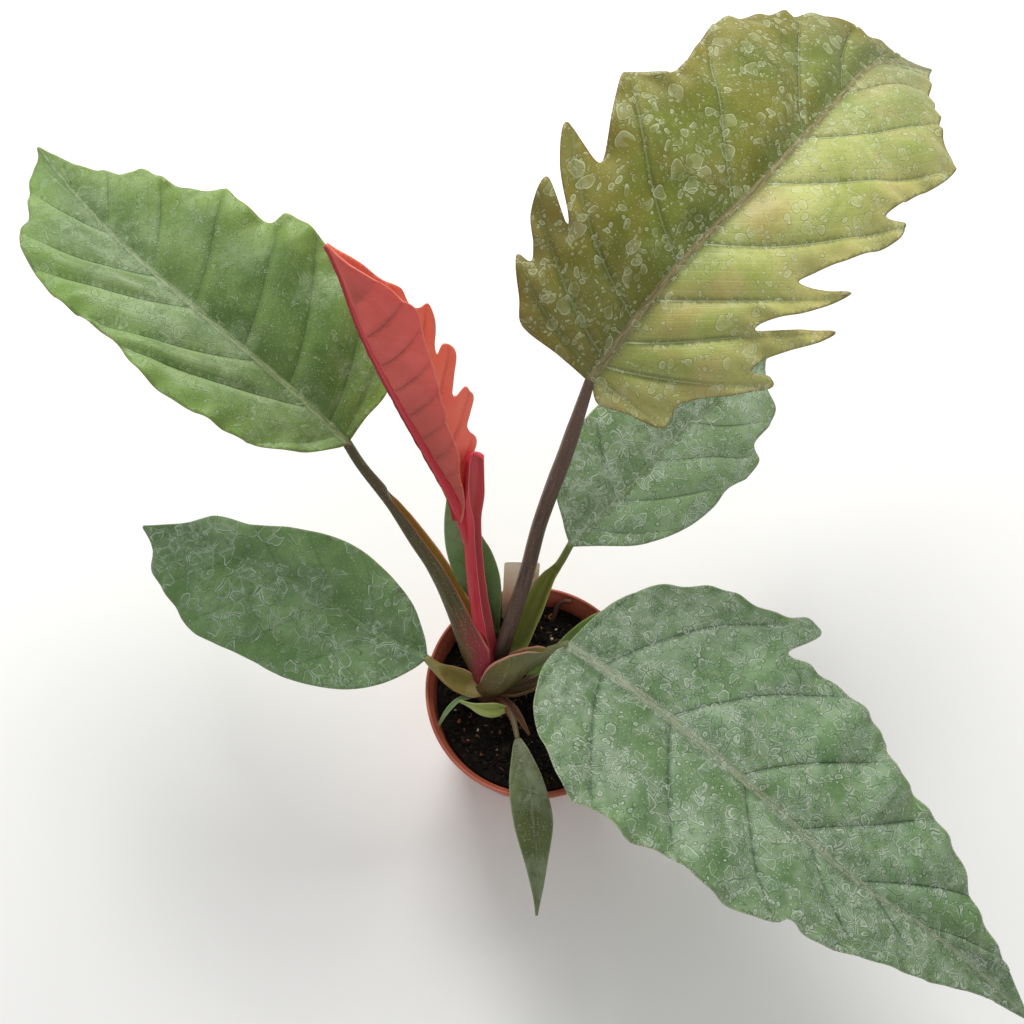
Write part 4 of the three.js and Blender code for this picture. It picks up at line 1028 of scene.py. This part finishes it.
# Leaf shapes, in millimetres. A margin lists (along, out) marks from the base to the tip, and a
# rib is (foot on the midrib, distance along at the margin, distance out at the margin).
BLADES = {
    "bronze": dict(
        midrib=[
            (16, 93, 220), (33, 110, 238), (54, 132, 254), (86, 164, 264), (120, 208, 262),
            (148, 244, 253), (188, 271, 228),
        ],
        facing=[(0.15, -0.45, 0.9), (0.25, 0.1, 0.95)],
        left=dict(
            fold=(14, 6), curl=(-2, -3),
            margin=[
                (2, 18), (3, 36), (12, 44), (23, 54), (25, 48), (38, 59), (50, 62), (43, 46), (46, 48),
                (56, 62), (66, 70), (64, 50), (79, 61), (95, 69), (107, 58), (117, 55), (138, 58),
                (161, 58), (180, 46), (205, 34), (217, 20), (238, 7),
            ],
            ribs=[
                (4, 20, 50), (11, 37, 52), (30, 65, 66), (58, 93, 64), (90, 134, 50), (139, 185, 32),
                (175, 217, 20), (205, 238, 7),
            ],
        ),
        right=dict(
            fold=(14, 6), curl=(-2, -3),
            margin=[
                (-5, 9), (-1, 20), (3, 35), (9, 36), (15, 35), (27, 45), (42, 59), (46, 56), (43, 49),
                (52, 51), (76, 62), (84, 63), (68, 49), (58, 40), (65, 41), (83, 51), (98, 57), (93, 49),
                (87, 39), (101, 44), (124, 56), (137, 56), (132, 47), (147, 50), (174, 58), (188, 57),
                (195, 45), (215, 36), (233, 23), (252, 9),
            ],
            ribs=[
                (3, 3, 33), (8, 42, 57), (20, 80, 61), (41, 96, 56), (70, 132, 54), (107, 178, 57),
                (138, 205, 42), (175, 235, 22), (215, 255, 8),
            ],
        ),
        ripple=1.5, pleat=2.4, groove=0.35, wave=1.0, ridge=0.6, rib=(1.9, 0.6), shift=1.0,
    ),
    "red": dict(
        midrib=[
            (-36, 47, 181), (-39, 52, 194), (-47, 58, 214), (-60, 69, 243), (-70, 77, 272), (-76, 86, 292),
            (-81, 93, 300),
        ],
        facing=[(0.85, 0.2, 0.4), (0.85, 0.2, 0.4)],
        left=dict(
            fold=(64, 60), curl=(3, 2),
            margin=[
                (20, 7), (28, 9), (40, 14), (54, 16), (61, 18), (77, 21), (91, 23), (99, 24), (112, 26),
                (117, 21), (123, 14), (129, 5),
            ],
            ribs=[
                (15, 24, 8), (26, 34, 12), (37, 46, 15), (48, 58, 17), (60, 73, 20), (73, 90, 23),
                (86, 105, 25), (100, 116, 22),
            ],
        ),
        right=dict(
            fold=(62, 56), curl=(0, 0),
            margin=[
                (14, 6), (24, 14), (32, 20), (38, 19), (42, 20), (49, 27), (53, 27), (56, 26), (55, 21),
                (57, 20), (61, 23), (67, 27), (73, 29), (77, 26), (75, 22), (80, 23), (89, 27), (97, 27),
                (98, 23), (102, 20), (111, 19), (118, 13), (126, 8), (133, 3),
            ],
            ribs=[(20, 33, 18), (32, 52, 26), (46, 74, 27), (62, 96, 26), (82, 114, 16)],
        ),
        ripple=0.4, pleat=0.9, groove=0.25, wave=0.35, ridge=0.3, rib=(2.0, 0.7), shift=2.0, step=1.1,
    ),
    "upper_left": dict(
        midrib=[
            (-85, 79, 189), (-109, 96, 206), (-147, 123, 222), (-181, 153, 226), (-203, 177, 224),
            (-234, 218, 214),
        ],
        facing=[(0, -0.05, 1), (0, -0.1, 1)],
        left=dict(
            fold=(20, 10), curl=(-2, -2),
            margin=[
                (3, 7), (11, 18), (28, 31), (51, 37), (67, 39), (80, 38), (94, 35), (122, 38), (147, 34),
                (160, 28), (166, 22), (188, 13), (204, 4),
            ],
            ribs=[
                (5, 20, 22), (21, 90, 35), (50, 108, 36), (84, 138, 34), (105, 153, 28), (135, 180, 15),
                (165, 202, 4),
            ],
        ),
        right=dict(
            fold=(16, 8), curl=(-2, -2),
            margin=[
                (2, 13), (4, 29), (18, 42), (37, 52), (64, 58), (85, 57), (88, 49), (104, 47), (117, 47),
                (124, 39), (133, 34), (154, 30), (159, 23), (182, 10), (202, 4),
            ],
            ribs=[
                (3, 18, 40), (11, 35, 48), (34, 58, 45), (58, 84, 50), (85, 115, 46), (110, 142, 32),
                (140, 172, 18), (170, 200, 5),
            ],
        ),
        ripple=1.8, pleat=2.6, right_pleat=0.5, groove=0.35, wave=0.9, ridge=0.35, rib=(1.6, 0.6),
        shift=3.0,
    ),
    "lower_right": dict(
        midrib=[
            (14, 12, 122), (47, -17, 134), (87, -53, 138), (128, -89, 130), (174, -116, 112),
            (214, -144, 88),
        ],
        facing=[(0.1, -0.1, 1), (0.3, -0.2, 0.9)],
        left=dict(
            fold=(10, 6), curl=(-2, -2),
            margin=[
                (1, 10), (5, 28), (14, 44), (35, 62), (52, 66), (68, 74), (79, 78), (86, 74), (80, 57),
                (92, 60), (112, 61), (135, 58), (143, 52), (176, 44), (198, 34), (215, 20), (246, 9),
            ],
            ribs=[
                (4, 10, 38), (20, 70, 70), (58, 108, 58), (96, 142, 50), (128, 178, 40), (160, 212, 24),
                (195, 240, 12),
            ],
        ),
        right=dict(
            fold=(22, 12), curl=(-2, -2),
            margin=[
                (-1, 7), (2, 20), (14, 39), (32, 51), (50, 59), (64, 56), (78, 57), (92, 50), (111, 49),
                (124, 47), (137, 40), (141, 35), (152, 34), (177, 25), (205, 19), (238, 7),
            ],
            ribs=[
                (3, 8, 30), (22, 56, 52), (60, 95, 48), (99, 135, 38), (135, 172, 28), (170, 205, 18),
                (205, 238, 7),
            ],
        ),
        ripple=2, pleat=2.2, groove=0.35, wave=1.0, ridge=0.5, rib=(1.9, 0.6), shift=4.0,
    ),
    "lower_left": dict(
        midrib=[
            (-52, 10, 106), (-76, 19, 114), (-102, 35, 118), (-131, 50, 118), (-169, 67, 112),
            (-196, 77, 104),
        ],
        facing=[(-0.1, -0.25, 1), (-0.2, -0.2, 1)],
        left=dict(
            fold=(10, 6), curl=(-2, -2),
            margin=[
                (4, 8), (15, 20), (32, 33), (51, 40), (78, 41), (107, 41), (122, 34), (144, 22), (152, 9),
            ],
            ribs=[(6, 22, 24), (28, 52, 36), (54, 84, 38), (80, 112, 36), (106, 135, 24), (130, 150, 10)],
        ),
        right=dict(
            fold=(10, 6), curl=(-2, -2),
            margin=[
                (6, 10), (18, 21), (36, 27), (60, 29), (86, 23), (104, 17), (123, 15), (138, 7), (152, 3),
            ],
            ribs=[(6, 20, 20), (28, 50, 26), (54, 78, 24), (80, 104, 17), (106, 128, 12)],
        ),
        ripple=1, pleat=0.8, groove=0.15, wave=0.7, ridge=0.4, rib=(1.5, 0.5), shift=5.0,
    ),
    "back": dict(
        midrib=[(15, 55, 140), (40, 79, 148), (70, 112, 151), (90, 130, 149), (121, 168, 137)],
        facing=[(0.15, -0.35, 0.95), (0.2, -0.1, 1)],
        left=dict(
            fold=(12, 6), curl=(-2, -2),
            margin=[(4, 10), (15, 27), (39, 37), (72, 36), (102, 29), (132, 17)],
            ribs=[(5, 18, 26), (30, 50, 34), (58, 84, 32), (88, 112, 24), (118, 138, 12)],
        ),
        right=dict(
            fold=(12, 6), curl=(-2, -2),
            margin=[
                (8, 9), (23, 23), (43, 33), (60, 36), (71, 35), (88, 38), (99, 35), (103, 27), (117, 26),
                (127, 23), (136, 12), (149, 4),
            ],
            ribs=[(11, 32, 24), (30, 68, 31), (57, 98, 30), (86, 118, 24), (116, 142, 9)],
        ),
        ripple=1, pleat=1.5, groove=0.3, wave=0.7, ridge=0.4, rib=(1.5, 0.5), shift=6.0,
    ),
    "hanging": dict(
        midrib=[(-8, -26, 95.6), (-4, -43, 98), (-2, -56, 98), (0, -71, 93), (1, -88, 87), (1, -102, 80)],
        facing=[(-0.1, -0.1, 1), (0, -0.3, 1)],
        left=dict(
            fold=(14, 14), curl=(0, 0), margin=[(7, 4), (26, 8), (39, 9), (57, 5), (72, 2)],
            ribs=[(8, 22, 8), (24, 40, 9), (42, 58, 5)],
        ),
        right=dict(
            fold=(14, 14), curl=(0, 0), margin=[(5, 4), (21, 9), (41, 9), (63, 4), (74, 1.5)],
            ribs=[(8, 22, 8), (24, 40, 9), (42, 58, 5)],
        ),
        ripple=0.3, pleat=0.25, groove=0.15, wave=0.3, ridge=0.3, rib=(0.9, 0.4), shift=7.0, step=0.9,
    ),
}
SLENDER = {
    "juvenile_leaf_blade": dict(
        look="juvenile", slot="juvenile_blade",
        midrib=[(-18.5, 29, 93), (-22, 36, 108), (-30, 49, 132), (-37, 59, 150), (-42, 67, 165)],
        facing=(-0.1, -0.85, 0.5), fold=12, half_widths=(5, 9, 11, 10, 6), shift=8.0,
    ),
    "bud_leaf": dict(
        look="bud", midrib=[(-13, -10, 89), (-24, -11, 92), (-36, -7, 92)], facing=(0, -0.4, 1), fold=18,
        half_widths=(3.6, 3.2, 1.4), shift=9.0,
    ),
    "strip_leaf": dict(
        look="juvenile", midrib=[(-31, -4, 90.5), (-37, -7, 92), (-42, -12, 90), (-46, -18, 86)],
        facing=(0, 0, 1), fold=10, half_widths=(1.3, 1.3, 1), shift=10.0,
    ),
    "green_cataphyll": dict(
        look="green", midrib=[(-3, 6, 90), (8, 12, 96), (18, 19, 104), (25.5, 24, 113), (33, 30, 121)],
        facing=(-0.3, -0.3, 1), fold=20, half_widths=(3.5, 4.5, 5, 4), shift=11.0,
    ),
    "cataphyll_remains": dict(
        look="remains", midrib=[(-15, -4, 86), (-8, -12, 86.5), (-2, -21, 83.5)], facing=(0.2, 0, 1),
        fold=25, half_widths=(2.6, 2.2, 1.4), shift=12.0,
    ),
}
STALKS = {
    "bronze": dict(
        path=[
            (-17.5, 12, 86), (-15, 18.5, 100), (-6.5, 38, 136), (-0.5, 56, 163), (9.5, 77, 194),
            (16.5, 93, 220),
        ],
        facing=(0, -0.6, 0.8), radii=(3.8, 3.8, 3.7, 3.5, 3.4, 3.6, 3.2, 2.2),
    ),
    "red": dict(
        path=[
            (-20, 8, 84), (-21.5, 17, 96), (-27, 33, 124), (-30, 46, 163), (-30, 52, 190), (-30, 60, 213),
        ],
        facing=(0.93, -0.37, 0.1), end_facing=(0.4, -0.9, 0.2),
        radii=(4.6, 5.2, 5.1, 4.8, 4.6, 4.6, 4.7, 3.9), channel=(0, 0.5, 1, 1, 1, 1, 1, 1, 1),
        wing=(0, 1.5, 2.6, 2.6, 2.4, 2.2, 2, 2, 2), spread=-0.5,
    ),
    "upper_left": dict(
        path=[
            (-23, 4, 83), (-27.5, 14, 94), (-39, 37, 113), (-47.5, 49, 126), (-56, 57.5, 137),
            (-68.7, 68.5, 156), (-79.5, 75.5, 174), (-85, 79, 189),
        ],
        facing=(0.85, 0.3, 0.35), radii=(5.4, 6.8, 6.0, 5.2, 4.4, 3.0, 2.4, 2.1),
        channel=(0, 0.6, 1, 1, 1, 1, 1, 1, 1, 1, 0.8, 0, 0, 0, 0),
        wing=(0, 7, 9, 7, 5.5, 4.5, 4, 3.5, 3.2, 3, 2.2, 0, 0, 0, 0),
    ),
    "back": dict(
        path=[
            (-16, 11, 86), (-7.5, 20.5, 94), (-2, 32, 106), (5, 44.5, 120), (10.5, 49.5, 130),
            (15, 55, 140),
        ],
        facing=(-0.35, -0.6, 0.7), radii=(3.0, 3.8, 4.4, 4.4, 3.4, 1.9, 1.7),
        channel=(0, 0.5, 1, 1, 1, 1, 1, 1, 1, 0.9, 0, 0, 0),
        wing=(0, 1, 2, 2.5, 3, 3.5, 4, 4, 3.5, 2.5, 0, 0, 0),
    ),
    "lower_right": dict(
        path=[
            (-24.5, 1, 84), (-18.5, 4, 90.5), (-12, 7, 97), (-4.5, 9.5, 104), (3.5, 10.5, 111),
            (14.5, 11.5, 122),
        ],
        facing=(-0.3, 0.85, 0.4), radii=(5.2, 7.2, 7.2, 6.4, 5.2, 4.2, 3.2, 2.8, 2.8),
        channel=(0, 0.5, 1, 1, 1, 1, 1, 1, 1, 1, 0.9, 0, 0, 0, 0),
        wing=(0, 2, 4, 6, 7, 7, 6.5, 6, 5, 4.5, 3, 0, 0, 0, 0),
    ),
    "lower_left": dict(
        path=[(-25, 0, 85), (-32, 1, 91), (-39.5, 3.5, 96), (-46.5, 6.5, 101), (-52, 10, 106)],
        facing=(0.3, 0, 1), radii=(4.0, 5.4, 5.6, 4.4, 2.6, 1.8), channel=(0, 1, 1, 0.9, 0.1, 0),
        wing=(0, 2, 2, 1.5, 0, 0),
    ),
    "hanging": dict(
        path=[(-17, -2, 84), (-13, -9, 88), (-10, -16, 92), (-8, -26, 94.6)], facing=(0, 0, 1),
        radii=(2.0, 2.2, 1.8, 1.4, 1.2),
    ),
    "low_sheath": dict(
        path=[(-17, -1, 85), (-8, 0, 89), (3, 3, 93), (15, 5, 97)], facing=(0, 0.4, 1),
        radii=(2.5, 3.8, 3.8, 2.8, 1.6), channel=(0, 1, 1, 0.8, 0), wing=(0, 1.5, 1.5, 1, 0),
    ),
    "juvenile": dict(
        path=[(-15, 26, 70), (-16, 27, 82), (-18.5, 29, 93)], facing=(0, -1, 0.3), radii=(1.6, 1.6, 1.5),
    ),
    "dried": dict(
        path=[(10, 38, 76), (12, 42, 81), (13.5, 45, 85), (16, 46, 88.5), (19, 45, 91)], facing=(0, 0, 1),
        radii=(1.4, 1.4, 1.3, 1.1), lumps=0.2,
    ),
}
RED_RIB = dict(
    path=[
        (-30.6, 41, 146), (-32.4, 45.8, 165), (-35, 48.4, 179), (-39, 52, 194), (-47, 58, 214),
        (-60, 69, 243), (-70, 77, 272), (-76, 86, 292), (-80.5, 92.5, 299),
    ],
    facing=(0.85, 0.2, 0.4), radii=(1.4, 3.0, 2.7, 2.1, 1.6, 1.2, 0.9, 0.7, 0.4), lumps=0.03,
)


def slender_shape(given):
    """A small leaf, alike on both sides, from half widths spread along it."""
    length = Curve(given["midrib"]).length
    widths = given["half_widths"]
    margin = [(length * (i + 1) / (len(widths) + 1), width) for i, width in enumerate(widths)]
    ribs = [(foot * length, (foot + 0.15) * length, max(widths)) for foot in (0.15, 0.5)]
    half = dict(fold=(given["fold"],) * 2, curl=(0, 0), margin=margin, ribs=ribs)
    return dict(
        midrib=given["midrib"], facing=[given["facing"]] * 2, left=half, right=half, ripple=0,
        pleat=0.1, groove=0.05, wave=0.25, ridge=0.15, rib=(0.7, 0.4), shift=given["shift"], step=0.8,
    )


def build_leaves():
    for name, shape in BLADES.items():
        node = name + "_leaf_blade"
        skin = leaf_material(node, LOOKS[name], Curve(shape["midrib"]).length)
        blade_object(name + "_leaf", shape, skin, node)
    for node, given in SLENDER.items():
        skin = leaf_material(node, LOOKS[given["look"]], Curve(given["midrib"]).length)
        blade_object(node + "_fine", slender_shape(given), skin, node)


def build_stalks():
    own_names = {"dried": "dried_stalk", "low_sheath": "low_sheath"}
    for name, shape in STALKS.items():
        node = own_names.get(name, name + "_leaf_petiole")
        skin = stalk_material(node, STALK_LOOKS[name])
        stalk_object(node + "_fine", shape, skin, node)
        if name == "red":
            stalk_object("red_leaf_rib", RED_RIB, skin, node)


def lathe(name, profile, sides, material, node, centre=(0, 0), wobble=0.0):
    """A closed turned body from (radius, height) marks, first and last on the axis."""
    vertices = []
    for radius, height in profile[1:-1]:
        for angle in TURN * np.arange(sides) / sides:
            x, y = math.cos(angle), math.sin(angle)
            reach = radius + wobble * noise.noise(Vector((x, y, height * 0.05)))
            vertices.append((centre[0] + reach * x, centre[1] + reach * y, height))
    vertices += [(*centre, profile[end][1]) for end in (0, -1)]
    return new_object(name, vertices, closed_rings(len(profile) - 2, sides, True), material, node)


def arc_marks(centre, radius, start, end, steps):
    angles = np.radians(np.linspace(start, end, steps + 1))
    return [(centre[0] + radius * math.cos(a), centre[1] + radius * math.sin(a)) for a in angles]


def build_pot():
    band = NECK_RADIUS + BAND_STEP
    lip = WALL / 2
    profile = [(0, 0.6), (BASE_RADIUS - 9, 0.6), (BASE_RADIUS - 8, 0)]
    profile += arc_marks((BASE_RADIUS - 1.2, 1.2), 1.2, -90, -5, 5)
    profile += [
        (NECK_RADIUS, BAND_BASE),
        (NECK_RADIUS + 0.2, BAND_BASE + 0.3),
        (band - 0.3, BAND_BASE + 0.7),
        (band, BAND_BASE + 1.1),
        (band + BAND_FLARE, POT_HEIGHT - 3.2),
    ]
    profile += arc_marks((RIM_RADIUS - 0.7, POT_HEIGHT - 2.4), 0.7, -80, 0, 4)
    profile += arc_marks((RIM_RADIUS - lip, POT_HEIGHT - lip), lip, 0, 180, 8)
    profile += [
        (RIM_RADIUS - WALL - 0.2, POT_HEIGHT - 2.2),
        (band - WALL + 0.3, POT_HEIGHT - 4),
        (band - WALL, BAND_BASE + 2),
        (NECK_RADIUS - WALL, BAND_BASE),
        (BASE_RADIUS - WALL, FLOOR),
        (0, FLOOR),
    ]
    plastic = plastic_material("pot_plastic", (184, 98, 76), (154, 74, 54), 0.42)
    lathe("pot_fine", profile, 144, plastic, "pot")


def soil_height(x, y):
    waves = [
        size * math.sin(TURN * (x / across + y / away) + shift) for size, across, away, shift in SOIL_WAVES
    ]
    return SOIL_HEIGHT + sum(waves)


def lump(centre, size, squash, seed_shift):
    """The points of a small uneven crumb: its rings, then its two poles."""
    turn = rng.uniform(0, TURN)
    tilt = Matrix.Rotation(rng.uniform(-0.6, 0.6), 3, "X") @ Matrix.Rotation(turn, 3, "Z")
    ways = []
    for polar in math.pi * np.arange(1, LUMP_RINGS + 1) / (LUMP_RINGS + 1):
        for angle in TURN * np.arange(LUMP_SIDES) / LUMP_SIDES:
            flat = math.sin(polar)
            place = (flat * math.cos(angle), flat * math.sin(angle), math.cos(polar))
            way = Vector(np.multiply(place, squash))
            ways.append(way * (1 + 0.35 * noise.noise(way * 2.1 + Vector((seed_shift, 0, 0)))))
    ways += [Vector((0, 0, pole * squash[2])) for pole in (1, -1)]
    return [tuple(Vector(centre) + tilt @ (way * size)) for way in ways]


def chance_place():
    radius = CRUMB_REACH * math.sqrt(rng.uniform(0, 1))
    angle = rng.uniform(0, TURN)
    return radius * math.cos(angle), radius * math.sin(angle)


def scatter(name, places, sizes, squash, material):
    """Crumbs on the soil, in one mesh: at the given places, or at as many places as a number says."""
    vertices, faces = [], []
    crumb = closed_rings(LUMP_RINGS, LUMP_SIDES)
    for i in range(places if isinstance(places, int) else len(places)):
        x, y = chance_place() if isinstance(places, int) else places[i]
        size = rng.uniform(*sizes)
        centre = (x, y, soil_height(x, y) + size * squash[2] * CRUMB_RISE)
        faces += [tuple(v + len(vertices) for v in face) for face in crumb]
        vertices += lump(centre, size, squash, i * 1.7)
    new_object(name, vertices, faces, material, "soil")


def build_soil():
    rim = lerp(BASE_RADIUS, NECK_RADIUS, SOIL_HEIGHT / BAND_BASE) - WALL - 0.3
    foot = BASE_RADIUS - WALL - 0.6
    ways = [(math.cos(angle), math.sin(angle)) for angle in TURN * np.arange(SOIL_SIDES) / SOIL_SIDES]
    vertices = []
    for radius in rim * np.arange(1, SOIL_RINGS + 1) / SOIL_RINGS:
        for x, y in np.multiply(ways, radius).tolist():
            grain = noise.noise(Vector((x * 0.45, y * 0.45, 0)))
            grain += 0.6 * noise.noise(Vector((x * 1.1, y * 1.1, 4)))
            vertices.append((x, y, soil_height(x, y) + SOIL_GRAIN * grain))
    vertices += [(foot * x, foot * y, FLOOR + 0.3) for x, y in ways]
    vertices += [(0, 0, soil_height(0, 0)), (0, 0, FLOOR + 0.3)]
    peat = soil_material("peat", (5, 4, 3), (24, 18, 12), (74, 54, 36), 0.3)
    bark = soil_material("bark", (98, 58, 34), (158, 104, 64), (190, 140, 92), 0.4)
    fibre = soil_material("fibre", (56, 40, 24), (112, 82, 54), (150, 118, 80), 0.4)
    pale = soil_material("pale_bits", (186, 172, 140), (226, 216, 190), (240, 232, 214), 0.4)
    new_object("soil_fine", vertices, closed_rings(SOIL_RINGS + 1, SOIL_SIDES), peat, "soil")
    scatter("soil_crumbs", 1300, (0.4, 1.5), (1, 0.85, 0.7), peat)
    scatter("bark_bits", BARK_PLACES, (0.9, 1.9), (1.4, 0.9, 0.45), bark)
    scatter("fibre_bits", 320, (0.4, 1.2), (1.7, 0.45, 0.3), fibre)
    scatter("pale_bits", PALE_PLACES, (0.6, 1.0), (1, 0.9, 0.8), pale)


def build_crown():
    foot = SOIL_HEIGHT - CROWN_DEPTH
    profile = [(0, foot), (CROWN_RADIUS - 4, foot), (CROWN_RADIUS, foot + 4)]
    for height in np.linspace(foot + 7, CROWN_TOP - 5, 14).tolist():
        profile.append((CROWN_RADIUS - 0.3 + 0.35 * math.sin(height * 1.9), height))
    profile += arc_marks((CROWN_RADIUS - 4, CROWN_TOP - 4), 4, 0, 85, 6)
    profile += [(0, CROWN_TOP)]
    look = STALK_LOOKS["dried"] | dict(dark=(56, 36, 26), light=(104, 70, 50), blotch=(78, 54, 38))
    skin = stalk_material("crown_skin", look)
    made = lathe("stem_crown_fine", profile, 56, skin, "stem_crown", CROWN_CENTRE, 0.8)
    points = np.array([tuple(v.co) for v in made.data.vertices]) / MM
    angle = np.arctan2(points[:, 1] - CROWN_CENTRE[1], points[:, 0] - CROWN_CENTRE[0])
    store(made, "stalk", np.stack([angle * CROWN_RADIUS, points[:, 2] - foot, np.zeros(len(points))], 1))
    store(made, "rim", np.zeros(len(points)))


def build_label():
    half = LABEL_WIDTH / 2
    corner_x, corner_y = half - LABEL_CORNER, LABEL_LENGTH - LABEL_CORNER
    outline = [(-LABEL_TIP, 0), (LABEL_TIP, 0), (half, LABEL_POINT)]
    outline += arc_marks((corner_x, corner_y), LABEL_CORNER, 0, 90, 6)
    outline += arc_marks((-corner_x, corner_y), LABEL_CORNER, 90, 180, 6)
    outline += [(-half, LABEL_POINT)]
    middle = np.mean(outline, axis=0)
    lean = Matrix.Rotation(math.radians(90 - LABEL_LEAN), 3, "X")
    face, bevel = LABEL_THICKNESS / 2, LABEL_BEVEL
    vertices = []
    for depth, inset in ((-face, bevel), (bevel - face, 0), (face - bevel, 0), (face, bevel)):
        for mark in outline:
            way = np.array(mark) - middle
            x, y = middle + way * (1 - inset / np.linalg.norm(way))
            bow = LABEL_BOW * (y / LABEL_LENGTH) ** 2
            vertices.append(tuple(lean @ Vector((x, y, depth + bow)) + Vector(LABEL_FOOT)))
    count = len(outline)
    faces = closed_rings(4, count, flip=True)[: 3 * count]
    faces += [tuple(range(count))[::-1], tuple(range(3 * count, 4 * count))]
    skin = label_material()
    new_object("plant_label_fine", vertices, faces, skin, "plant_label", False)


def build_floor():
    graph = Graph("floor")
    cloud = graph.noise(graph.place(), 3.0, 2)
    mesh = bpy.data.meshes.new("floor")
    corners = [(-FLOOR_REACH, -FLOOR_REACH, 0), (FLOOR_REACH, -FLOOR_REACH, 0)]
    corners += [(FLOOR_REACH, FLOOR_REACH, 0), (-FLOOR_REACH, FLOOR_REACH, 0)]
    mesh.from_pydata(corners, [], [(0, 1, 2, 3)])
    colour = graph.mix(cloud.step(0.3, 0.7), (248, 248, 247), (252, 252, 251))
    mesh.materials.append(graph.finish(colour, 0.9))
    add_object("floor", mesh)


def build_light():
    world = bpy.data.worlds.new("studio")
    world.use_nodes = True
    background = world.node_tree.nodes["Background"]
    background.inputs[0].default_value = (1.0, 1.0, 1.0, 1.0)
    background.inputs[1].default_value = SKY_STRENGTH
    bpy.context.scene.world = world
    window = bpy.data.lights.new("window", "AREA")
    window.size = WINDOW_SIZE
    window.energy = WINDOW_POWER
    window.color = WINDOW_COLOUR
    light = add_object("window", window)
    light.location = WINDOW_PLACE
    way = Vector(WINDOW_TARGET) - Vector(WINDOW_PLACE)
    light.rotation_euler = way.to_track_quat("-Z", "Y").to_euler()


def build_camera():
    data = bpy.data.cameras.new("view")
    data.sensor_width = SENSOR_WIDTH
    data.lens = LENS
    camera = add_object("view", data)
    axes = Matrix((RIGHT, [-v for v in DOWN], [-v for v in FORWARD])).transposed()
    camera.matrix_world = Matrix.Translation(Vector(EYE) * MM) @ axes.to_4x4()
    bpy.context.scene.camera = camera


build_pot()
build_soil()
build_crown()
build_label()
build_stalks()
build_leaves()
build_floor()
build_light()
build_camera()
bpy.context.scene.view_settings.view_transform = "Standard"
